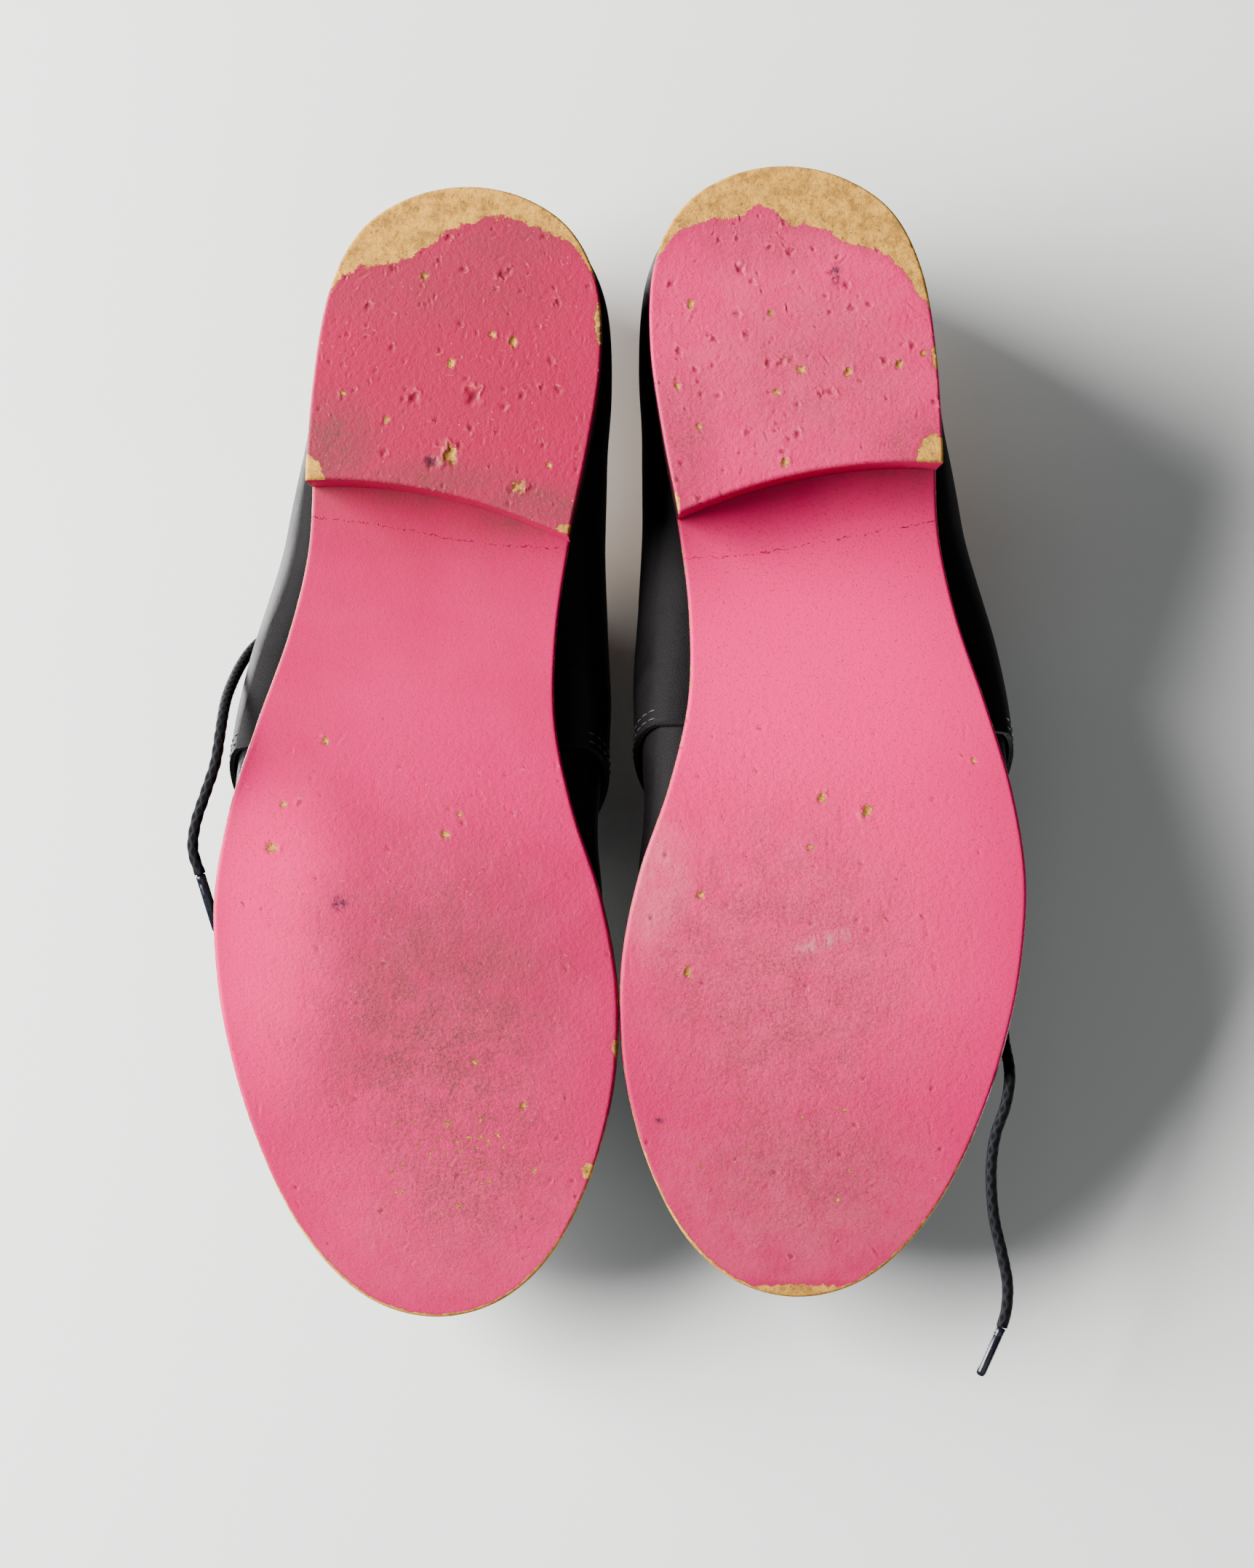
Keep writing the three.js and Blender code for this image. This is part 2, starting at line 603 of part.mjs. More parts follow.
function tongue() {
  const front = stationAt(TONGUE_FRONT);
  const back = stationAt(TONGUE_BACK);
  return sheet(8, 8, ...TONGUE_LEVEL, (s, t, offset) => {
    const [side, fromRidge] = spread(s);
    const station = mix(front, back, t);
    const reach = mix(TONGUE_FRONT_REACH, TONGUE_BACK_REACH, t) * fromRidge;
    return onLast(side, station, heightForReach(side, station, reach), offset);
  });
}

// ---- eyelets and lace ----

function eyeletStation(number) {
  return stationAt(EYELET_FIRST - number * EYELET_STEP / SOLE_LENGTH);
}

// Where an eyelet sits, the direction out through it, towards the ridge, and up the instep.
function eyeletSeat(side, number) {
  const station = eyeletStation(number);
  const height = heightForReach(side, station, FACING_GAP + EYELET_EDGE);
  const centre = lastSkin(side, station, height);
  const out = lastNormal(side, station, height);
  const next = lastSkin(side, station - 0.01, height);
  const up = next.sub(centre).addScaledVector(out, -next.dot(out)).normalize();
  const inward = new THREE.Vector3().crossVectors(up, out).multiplyScalar(-side).normalize();
  return { centre, out, up, inward };
}

function alongAxis(geometry, centre, axis) {
  const turn = new THREE.Quaternion().setFromUnitVectors(new THREE.Vector3(0, 1, 0), axis);
  return geometry.applyQuaternion(turn).translate(centre.x, centre.y, centre.z);
}

function eyelet(side, number) {
  const { centre, out } = eyeletSeat(side, number);
  const barrel = EYELET_BORE + EYELET_WALL;
  const low = LINING_LEVEL[0] + GAP;
  const high = FLANGE_LEVEL + EYELET_RIM;
  const rounding = 0.2;
  const profile = [
    [EYELET_BORE, low], [barrel, low], [barrel, FLANGE_LEVEL], [EYELET_FLANGE, FLANGE_LEVEL],
    [EYELET_FLANGE - rounding, high], [EYELET_BORE, high], [EYELET_BORE, low],
  ].map(([radius, level]) => new THREE.Vector2(radius, level));
  return alongAxis(new THREE.LatheGeometry(profile, 8), centre, out);
}

function eyeletHoles(side) {
  const radius = EYELET_BORE + EYELET_WALL + GAP;
  const depth = 16;
  return Array.from({ length: EYELET_PAIRS }, (_, number) => {
    const { centre, out } = eyeletSeat(side, number);
    return alongAxis(new THREE.CylinderGeometry(radius, radius, depth, 8), centre, out);
  });
}

// Points of the lace through one eyelet, from outside to inside.
function throughEyelet(side, number, outside, inside) {
  const { centre, out } = eyeletSeat(side, number);
  const spot = (level, away, reach) => centre.clone().addScaledVector(out, level).addScaledVector(away, reach);
  const [near, bend, clear] = [0.15, 1.6, 5];
  const ease = 0.2;
  return [
    spot(LACE_OVER, outside, clear), spot(LACE_OVER - ease, outside, bend),
    spot(FLANGE_LEVEL + 4 * ease, outside, near), spot(ease, inside, 0),
    spot(LINING_LEVEL[0] - 2.5 * ease, inside, near), spot(LACE_UNDER + ease, inside, bend),
    spot(LACE_UNDER, inside, clear),
  ];
}

// Straight lacing: a bar over each of the three lower pairs, the runs between them under the facings.
function lacedRoute() {
  const seat = (side, number) => eyeletSeat(side, number);
  const upRun = (side, number) => seat(side, number).up;
  const downRun = (side, number) => upRun(side, number).clone().negate();
  const outwards = (side, number) => seat(side, number).inward.clone().negate();
  const pass = (side, number, outside, run) => throughEyelet(side, number, outside, run(side, number));
  const [ridgeLift, edgeLift, edgeReach, passing] = [0.3, 0.2, FACING_GAP + 1, 3.9];
  const over = (number, side) => [side, 0, -side].map((half) => {
    const station = eyeletStation(number);
    if (half === 0) return onLast(1, station, 1, LACE_OVER + ridgeLift);
    return onLast(half, station, heightForReach(half, station, edgeReach), LACE_OVER + edgeLift);
  });
  const beside = (side, number, reach) => {
    const { centre, out, inward } = seat(side, number);
    return [centre.clone().addScaledVector(out, LACE_UNDER).addScaledVector(inward, reach)];
  };
  const bar = (number, side, inRun, outRun) => [
    ...pass(side, number, seat(side, number).inward, inRun).reverse(),
    ...over(number, side),
    ...pass(-side, number, seat(-side, number).inward, outRun),
  ];
  const top = EYELET_PAIRS - 1;
  return [
    ...pass(1, top, outwards(1, top), downRun),
    ...bar(2, 1, upRun, downRun),
    ...beside(-1, 1, passing),
    ...bar(0, -1, upRun, upRun),
    ...bar(1, 1, downRun, upRun),
    ...beside(-1, 2, -passing),
    ...pass(-1, top, outwards(-1, top), downRun).reverse(),
  ];
}

function lacedSection() {
  return tube(lacedRoute(), LACE_DIAMETER, 1);
}

function looseEnd(points) {
  return tube(points.map((point) => new THREE.Vector3(...point)), LACE_DIAMETER, 1);
}

// The tip that closes a lace, from the last point of the lace to the tip's own end.
function aglet(points, tip) {
  const end = new THREE.Vector3(...tip);
  const start = new THREE.Vector3(...points[points.length - 1]);
  const axis = end.clone().sub(start).normalize();
  const length = end.distanceTo(start);
  const radius = AGLET_DIAMETER / 2;
  const [taper, narrowing] = [1, 0.5];
  const profile = [
    [0, GAP], [radius, GAP], [radius, length - taper], [radius - narrowing, length], [0, length],
  ];
  const outline = profile.map(([out, along]) => new THREE.Vector2(out, along));
  return alongAxis(new THREE.LatheGeometry(outline, 8), start, axis);
}

// ---- assembly ----

function mesh(name, geometry, kind) {
  const part = new THREE.Mesh(geometry, new THREE.MeshStandardMaterial(MATERIALS[kind]));
  part.name = name;
  return part;
}

function shoe(prefix, lateralEnd, lateralTip) {
  const group = new THREE.Group();
  const add = (name, geometry, kind) => group.add(mesh(`${prefix}_${name}`, geometry, kind));
  add('outsole', outsole(), 'paint');
  add('heel_stack', heelStack(), 'paint');
  add('heel_top_lift', heelTopLift(), 'paint');
  add('filler', filler(), 'cork');
  add('shank', shank(), 'steel');
  add('insole', insole(), 'board');
  add('sock_liner', sockLiner(), 'tan');
  add('vamp', vamp(), 'leather');
  add('vamp_lining', vampLining(), 'tan');
  add('toe_puff', toePuff(), 'felt');
  add('heel_counter', heelCounter(), 'board');
  add('quarter_lateral', cut(quarter(1), eyeletHoles(1)), 'leather');
  add('quarter_medial', cut(quarter(-1), eyeletHoles(-1)), 'leather');
  add('quarter_lining', cut(quarterLining(), [...eyeletHoles(1), ...eyeletHoles(-1)]), 'tan');
  add('backstay', backstay(), 'leather');
  add('tongue', tongue(), 'leather');
  for (let number = 0; number < EYELET_PAIRS; number += 1) {
    add(`eyelet_lateral_${number + 1}`, eyelet(1, number), 'enamel');
    add(`eyelet_medial_${number + 1}`, eyelet(-1, number), 'enamel');
  }
  add('lace', lacedSection(), 'cotton');
  add('lace_end_lateral', looseEnd(lateralEnd), 'cotton');
  add('lace_end_medial', looseEnd(MEDIAL_END), 'cotton');
  add('aglet_lateral', aglet(lateralEnd, lateralTip), 'plastic');
  add('aglet_medial', aglet(MEDIAL_END, MEDIAL_TIP), 'plastic');
  return group;
}

const medialReach = Math.max(...EDGE.map(([, , medial]) => -medial)) * BALL_WIDTH;

const left = shoe('left', LEFT_LATERAL_END, LEFT_LATERAL_TIP);
left.position.set(medialReach + LEFT_CLEARANCE, LEFT_MIDDLE, 0);

const right = shoe('right', RIGHT_LATERAL_END, RIGHT_LATERAL_TIP);
right.scale.x = -1;
right.position.set(-medialReach - RIGHT_CLEARANCE, RIGHT_MIDDLE, 0);
right.rotation.z = RIGHT_TURN;

const group = new THREE.Group();
group.add(left, right);

export default group;
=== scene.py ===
import math
import bmesh
import bpy
import numpy as np
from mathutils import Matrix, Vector


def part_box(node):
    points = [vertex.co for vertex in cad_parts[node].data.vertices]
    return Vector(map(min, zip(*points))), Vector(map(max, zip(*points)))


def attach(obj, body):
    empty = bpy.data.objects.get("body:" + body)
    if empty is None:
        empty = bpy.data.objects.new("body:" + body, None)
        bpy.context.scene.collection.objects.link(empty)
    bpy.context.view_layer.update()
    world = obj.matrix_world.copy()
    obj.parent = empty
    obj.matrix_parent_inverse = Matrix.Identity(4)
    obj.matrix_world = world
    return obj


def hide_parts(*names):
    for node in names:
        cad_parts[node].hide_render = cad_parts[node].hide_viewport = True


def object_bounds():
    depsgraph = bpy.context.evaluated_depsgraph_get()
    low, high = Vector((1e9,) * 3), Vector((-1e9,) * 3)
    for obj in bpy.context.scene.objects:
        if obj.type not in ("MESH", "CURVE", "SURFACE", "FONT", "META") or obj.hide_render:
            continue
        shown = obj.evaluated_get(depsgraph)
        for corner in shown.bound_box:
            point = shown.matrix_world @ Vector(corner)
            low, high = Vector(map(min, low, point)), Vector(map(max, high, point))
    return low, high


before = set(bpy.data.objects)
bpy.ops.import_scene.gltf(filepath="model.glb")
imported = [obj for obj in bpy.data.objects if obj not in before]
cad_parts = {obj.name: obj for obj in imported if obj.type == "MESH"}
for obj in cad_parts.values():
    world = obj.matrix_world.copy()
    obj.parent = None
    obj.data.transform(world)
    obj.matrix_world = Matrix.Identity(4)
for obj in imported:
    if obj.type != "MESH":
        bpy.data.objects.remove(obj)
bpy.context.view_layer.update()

# The looks of a pair of lace-up derby shoes with painted leather soles.
# A shoe's own frame is the part's: millimetres, x to its outer side, y from the toe (-) to the heel (+).

SHOES = ("left", "right")
MM = 0.001
RIGHT_TURN = math.radians(1.1)

SOLE_LENGTH = 302.0
BALL_WIDTH = 107.0
SOLE_THICKNESS = 4.5
HEEL_HEIGHT = 20.0
TOP_LIFT_THICKNESS = 6.0
TOE_SPRING = 10.5
LAST_HEIGHT = 95.0
COLLAR_HEIGHT = 62.0
GAP = 0.3
FEATHER_GAP = 0.5
FEATHER_INSET = 3.0
WAIST_INSET = 1.5
INSOLE_INSET = 9.2
BREAST_LATERAL = 78.0
BREAST_MEDIAL = 93.0
BREAST_HOLLOW = 4.5
FACING_GAP = 7.0
EYELET_EDGE = 10.0
EYELET_BORE = 2.05
EYELET_WALL = 0.5
EYELET_FLANGE = 3.6
EYELET_RIM = 0.6
EYELET_FIRST = 0.548
EYELET_STEP = 13.0
EYELET_PAIRS = 4
LACE_DIAMETER = 3.1
AGLET_DIAMETER = 2.7

EDGE = [
    (0, -0.056, -0.056), (0.009, 0.081, -0.193), (0.034, 0.196, -0.303), (0.086, 0.281, -0.379),
    (0.162, 0.324, -0.386), (0.238, 0.343, -0.351), (0.315, 0.356, -0.305), (0.394, 0.404, -0.275),
    (0.47, 0.474, -0.274), (0.546, 0.537, -0.318), (0.623, 0.572, -0.388), (0.699, 0.564, -0.428),
    (0.775, 0.524, -0.426), (0.851, 0.456, -0.383), (0.904, 0.388, -0.326), (0.955, 0.287, -0.236),
    (0.98, 0.207, -0.157), (1, 0.025, 0.025),
]
WAIST_RISE = [
    (0, 1), (0.315, 1), (0.364, 0.88), (0.43, 0.6), (0.497, 0.32), (0.563, 0.11), (0.61, 0.02),
    (0.635, 0), (1, 0),
]
TOE_RISE = [(0, 0), (0.72, 0), (0.78, 0.08), (0.844, 0.25), (0.91, 0.505), (0.96, 0.76), (1, 1)]
RIDGE_RISE = [
    (0, 0.96), (0.093, 0.984), (0.2, 0.995), (0.27, 0.984), (0.33, 0.958), (0.39, 0.905), (0.43, 0.874),
    (0.5, 0.794), (0.57, 0.716), (0.66, 0.626), (0.75, 0.554), (0.83, 0.479), (0.89, 0.385),
    (0.92, 0.326),
]
RIDGE_SIDE = [(0, -5.5), (0.093, -5), (0.39, -2), (0.66, 2), (0.83, 3.5), (1, 2.7)]
LATERAL_BULGE = [
    (0, 2.5), (0.1, 3), (0.2, 4.5), (0.3, 9.5), (0.4, 11.5), (0.47, 9), (0.55, 4.5), (0.65, 1.5),
    (1, 1.2),
]
MEDIAL_BULGE = [
    (0, 2.5), (0.1, 2.5), (0.2, 4.2), (0.3, 9.5), (0.38, 13.8), (0.45, 15.6), (0.52, 13), (0.6, 6),
    (0.68, 2), (0.75, 1.2), (1, 1.2),
]
COLLAR_RISE = [
    (0, 1), (0.1, 0.93), (0.2, 0.83), (0.27, 0.84), (0.33, 1), (0.365, 1.2), (0.385, 1.38), (0.4, 1.6),
    (1, 1.6),
]
ROUNDNESS = 2.4
HEEL_LEAN = 0.093
HEEL_ZONE = 0.2
TOE_LEAN = 0.08
TOE_ZONE = 0.17


# ---- curves and the last, as in the part, but for whole arrays at once ----

def through(points, flat=False):
    """A smooth function through the points. With flat it never passes beyond two neighbouring values."""
    xs = np.array([p[0] for p in points], float)
    ys = np.array([p[1] for p in points], float)
    span = np.diff(xs)
    step = np.diff(ys) / span
    slopes = np.zeros(len(xs))
    slopes[0], slopes[-1] = step[0], step[-1]
    for i in range(1, len(xs) - 1):
        before, after = step[i - 1], step[i]
        if not flat:
            slopes[i] = (before * span[i] + after * span[i - 1]) / (span[i] + span[i - 1])
        elif before * after > 0:
            slopes[i] = 2 * before * after / (before + after)

    def value(x):
        x = np.asarray(x, float)
        i = np.clip(np.searchsorted(xs, x) - 1, 0, len(xs) - 2)
        t = np.clip((x - xs[i]) / span[i], 0, 1)
        rise = ys[i + 1] - ys[i]
        start, end = slopes[i] * span[i], slopes[i + 1] * span[i]
        return ys[i] + t * (start + t * (3 * rise - 2 * start - end + t * (start + end - 2 * rise)))
    return value


def share_at(station):
    return (1 - np.cos(np.pi * np.asarray(station, float))) / 2


def station_at(share):
    return np.arccos(1 - 2 * np.asarray(share, float)) / np.pi


lateral_edge = through([(station_at(s), a * BALL_WIDTH) for s, a, _ in EDGE])
medial_edge = through([(station_at(s), b * BALL_WIDTH) for s, _, b in EDGE])
waist_rise = through(WAIST_RISE, True)
toe_rise = through(TOE_RISE, True)
ridge_rise = through(RIDGE_RISE)
ridge_side = through(RIDGE_SIDE)
lateral_bulge = through(LATERAL_BULGE, True)
medial_bulge = through(MEDIAL_BULGE, True)
collar_rise = through(COLLAR_RISE, True)
FEATHER = [(0, WAIST_INSET), (0.45, WAIST_INSET), (0.62, FEATHER_INSET), (1, FEATHER_INSET)]
feather_inset = through(FEATHER, True)


def ground_at(share):
    return HEEL_HEIGHT * waist_rise(share) + TOE_SPRING * toe_rise(share)


def sole_top_at(share):
    return ground_at(share) + SOLE_THICKNESS


def y_at(share):
    return SOLE_LENGTH * (0.5 - share)


def share_of(y):
    return np.clip(0.5 - y / SOLE_LENGTH, 0, 1)


def unit(v):
    return v / np.maximum(np.linalg.norm(v, axis=-1, keepdims=True), 1e-9)


def edge_point(side, station):
    """side is 1 on the lateral side and -1 on the medial side."""
    side, station = np.broadcast_arrays(np.asarray(side, float), np.asarray(station, float))
    x = np.where(side > 0, lateral_edge(station), medial_edge(station))
    return np.stack([x, y_at(share_at(station))], -1)


def edge_normal(side, station):
    reach = 0.002
    side, station = np.broadcast_arrays(np.asarray(side, float), np.asarray(station, float))
    inner = np.clip(station, reach, 1 - reach)
    along = edge_point(side, inner + reach) - edge_point(side, inner - reach)
    normal = unit(np.stack([-along[..., 1] * side, along[..., 0] * side], -1))
    tip = ((station < reach) | (station > 1 - reach))[..., None]
    ends = np.stack([np.zeros_like(station), np.where(station < 0.5, 1.0, -1.0)], -1)
    return np.where(tip, ends, normal)


def inset_point(side, station, inset):
    inset = np.asarray(inset, float)[..., None]
    return edge_point(side, station) - edge_normal(side, station) * inset


def ridge_share_at(share):
    heel = share + HEEL_LEAN * np.clip(1 - share / HEEL_ZONE, 0, None) ** 2
    toe = share - TOE_LEAN * np.clip((share - 1 + TOE_ZONE) / TOE_ZONE, 0, None) ** 2
    return np.where(share < HEEL_ZONE, heel, np.where(share > 1 - TOE_ZONE, toe, share))


def last_skin(side, station, height):
    """height runs from 0 at the feather edge to 1 on the ridge."""
    side, station, height = np.broadcast_arrays(*(np.asarray(v, float) for v in (side, station, height)))
    share = share_at(station)
    base = inset_point(side, station, feather_inset(share))
    top = ridge_share_at(share)
    ridge = np.stack([ridge_side(top), y_at(top)], -1)
    angle = np.clip(height, 0, 1) * math.pi / 2
    across = np.clip(np.cos(angle), 0, None) ** (2 / ROUNDNESS)
    up = np.clip(np.sin(angle), 0, None) ** (2 / ROUNDNESS)
    belly = up ** 0.6
    bulge = np.where(side > 0, lateral_bulge(share), medial_bulge(share)) * 4 * belly * (1 - belly)
    spot = ridge + (base - ridge) * across[..., None] + edge_normal(side, station) * bulge[..., None]
    low = sole_top_at(share) + FEATHER_GAP
    high = sole_top_at(top) + LAST_HEIGHT * ridge_rise(top)
    return np.concatenate([spot, (low + (high - low) * up)[..., None]], -1)


def plain_normal(side, station, height):
    reach = 0.004
    s = np.clip(station, reach, 1 - reach)
    h = np.clip(height, reach, 1 - reach)
    along = last_skin(side, s + reach, h) - last_skin(side, s - reach, h)
    up = last_skin(side, s, h + reach) - last_skin(side, s, h - reach)
    return unit(np.cross(along, up) * -np.asarray(side, float)[..., None])


def last_normal(side, station, height):
    side, station, height = np.broadcast_arrays(*(np.asarray(v, float) for v in (side, station, height)))
    seam = ((station < 0.002) | (station > 0.998) | (height > 0.998))[..., None]
    both = unit(plain_normal(np.ones_like(side), station, height)
                + plain_normal(-np.ones_like(side), station, height))
    return np.where(seam, both, plain_normal(side, station, height))


def on_last(side, station, height, offset):
    normal = last_normal(side, station, height)
    normal[..., 2] = np.maximum(normal[..., 2], 0)
    return last_skin(side, station, height) + unit(normal) * np.asarray(offset, float)[..., None]


def height_for_rise(share, rise):
    top = ridge_share_at(share)
    full = sole_top_at(top) + LAST_HEIGHT * ridge_rise(top) - sole_top_at(share)
    return np.arcsin(np.clip(rise / full, 0, 1) ** (ROUNDNESS / 2)) / (math.pi / 2)


def height_for_reach(side, station, reach):
    side, station = np.broadcast_arrays(np.asarray(side, float), np.asarray(station, float))
    share = share_at(station)
    top = ridge_share_at(share)
    ridge = np.stack([ridge_side(top), y_at(top)], -1)
    base = inset_point(side, station, feather_inset(share))
    part = np.clip(reach / np.maximum(np.linalg.norm(base - ridge, axis=-1), 1e-6), 0, 1)
    return np.arccos(part ** (ROUNDNESS / 2)) / (math.pi / 2)


def quarter_top(side, station):
    share = share_at(station)
    collar = height_for_rise(share, COLLAR_HEIGHT * collar_rise(share))
    return np.minimum(collar, height_for_reach(side, station, FACING_GAP))


# ---- from a shoe's frame to the row's ----

def turned(shoe, points):
    """Millimetres in the shoe's frame to metres, mirrored and turned for the right shoe, not yet moved."""
    p = np.asarray(points, float) * MM
    if shoe == "left":
        return p.copy()
    x, y = -p[..., 0], p[..., 1]
    c, s = math.cos(RIGHT_TURN), math.sin(RIGHT_TURN)
    return np.stack([c * x - s * y, s * x + c * y, p[..., 2]], -1)


def find_place(shoe):
    """Where the CAD shoe stands: its outsole's box against the box of the same outline at the origin."""
    station = np.linspace(0, 1, 41)
    outline = np.concatenate([edge_point(1, station), edge_point(-1, station)])
    flat = turned(shoe, np.column_stack([outline, np.zeros(len(outline))]))
    low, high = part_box(f"{shoe}_outsole")
    middle = (np.array(low) + np.array(high)) / 2
    place = middle - (flat.min(0) + flat.max(0)) / 2
    place[2] = 0
    return place


PLACE = {shoe: find_place(shoe) for shoe in SHOES}


def placed(shoe, points):
    return turned(shoe, points) + PLACE[shoe]


# ---- camera ----

CAMERA_PLACE = (-0.0019, -0.0125, -0.85)
CAMERA_LENS = 73.5


def make_camera():
    """Straight under the pair, looking up at the soles, with the heels at the top of the picture."""
    data = bpy.data.cameras.new("camera")
    data.lens = CAMERA_LENS
    data.sensor_width = 36
    data.clip_start, data.clip_end = 0.01, 50
    camera = bpy.data.objects.new("camera", data)
    bpy.context.scene.collection.objects.link(camera)
    camera.location = CAMERA_PLACE
    camera.rotation_euler = (0, math.pi, 0)
    bpy.context.scene.camera = camera


make_camera()


# ---- materials ----

def srgb(red, green, blue):
    """A colour given as it shows on a screen, 0 to 255."""
    def linear(v):
        v /= 255
        return v / 12.92 if v <= 0.04045 else ((v + 0.055) / 1.055) ** 2.4
    return (linear(red), linear(green), linear(blue), 1.0)


class Shader:
    """A material's node graph, with short calls for the nodes that the finishes share. Lengths in mm."""

    def __init__(self, name, roughness=0.5):
        self.material = bpy.data.materials.new(name)
        self.material.use_nodes = True
        self.tree = self.material.node_tree
        self.tree.nodes.clear()
        self.surface = self.add("ShaderNodeBsdfPrincipled")
        self.surface.inputs["Roughness"].default_value = roughness
        output = self.add("ShaderNodeOutputMaterial")
        self.tree.links.new(self.surface.outputs[0], output.inputs["Surface"])
        scaled = self.add("ShaderNodeVectorMath", operation="SCALE")
        self.put(scaled.inputs[0], self.add("ShaderNodeTexCoord").outputs["Object"])
        scaled.inputs["Scale"].default_value = 1 / MM
        self.place = scaled.outputs[0]

    def add(self, kind, **settings):
        node = self.tree.nodes.new(kind)
        for key, value in settings.items():
            setattr(node, key, value)
        return node

    def put(self, socket, value):
        if isinstance(value, bpy.types.NodeSocket):
            self.tree.links.new(value, socket)
        else:
            socket.default_value = value

    def set(self, name, value):
        self.put(self.surface.inputs[name], value)

    def math(self, operation, a, b=0.0, clamp=False):
        node = self.add("ShaderNodeMath", operation=operation, use_clamp=clamp)
        self.put(node.inputs[0], a)
        self.put(node.inputs[1], b)
        return node.outputs[0]

    def mix(self, factor, a, b):
        node = self.add("ShaderNodeMix", data_type="RGBA")
        self.put(node.inputs[0], factor)
        self.put(node.inputs[6], a)
        self.put(node.inputs[7], b)
        return node.outputs[2]

    def span(self, value, low, high, start=0.0, end=1.0):
        """start below low and end above high, with a smooth step between."""
        node = self.add("ShaderNodeMapRange", interpolation_type="SMOOTHSTEP")
        for i, v in enumerate((value, low, high, start, end)):
            self.put(node.inputs[i], v)
        return node.outputs[0]

    def stretched(self, factors):
        node = self.add("ShaderNodeVectorMath", operation="MULTIPLY")
        self.put(node.inputs[0], self.place)
        node.inputs[1].default_value = factors
        return node.outputs[0]

    def noise(self, size, detail=2.0, roughness=0.5, distortion=0.0, stretch=None):
        """Soft noise whose blots are about size across."""
        node = self.add("ShaderNodeTexNoise")
        self.put(node.inputs["Vector"], self.stretched(stretch) if stretch else self.place)
        node.inputs["Scale"].default_value = 1 / size
        node.inputs["Detail"].default_value = detail
        node.inputs["Roughness"].default_value = roughness
        node.inputs["Distortion"].default_value = distortion
        return node.outputs[0]

    def cells(self, size, feature="F1", output="Distance"):
        node = self.add("ShaderNodeTexVoronoi", feature=feature)
        self.put(node.inputs["Vector"], self.place)
        node.inputs["Scale"].default_value = 1 / size
        return node.outputs[output]

    def field(self, name):
        return self.add("ShaderNodeAttribute", attribute_name=name).outputs["Fac"]

    def bump(self, height, distance, strength=1.0, under=None):
        node = self.add("ShaderNodeBump")
        node.inputs["Strength"].default_value = strength
        node.inputs["Distance"].default_value = distance * MM
        self.put(node.inputs["Height"], height)
        if under is not None:
            self.put(node.inputs["Normal"], under)
        return node.outputs[0]


PINK = (0.42, 0.0, 0.07, 1)
PINK_LIGHT = (0.49, 0.001, 0.088, 1)
PINK_DEEP = (0.31, 0.0, 0.038, 1)
PINK_PALE = (0.85, 0.001, 0.15, 1)
PINK_RUBBED = (0.31, 0.012, 0.042, 1)
# A pale pink film: dust, and a painted sheen where it lies on the right sole's medial ball.
DUST_AND_SHEEN = (0.7, 0.13, 0.2, 1)
DIRT = (0.125, 0.042, 0.04, 1)
RAW = (0.62, 0.31, 0.048, 1)
# Darker tone of bare leather; also the painted shade round the bare specks of the scars.
RAW_DARK_AND_RIM_SHADE = (0.13, 0.06, 0.015, 1)


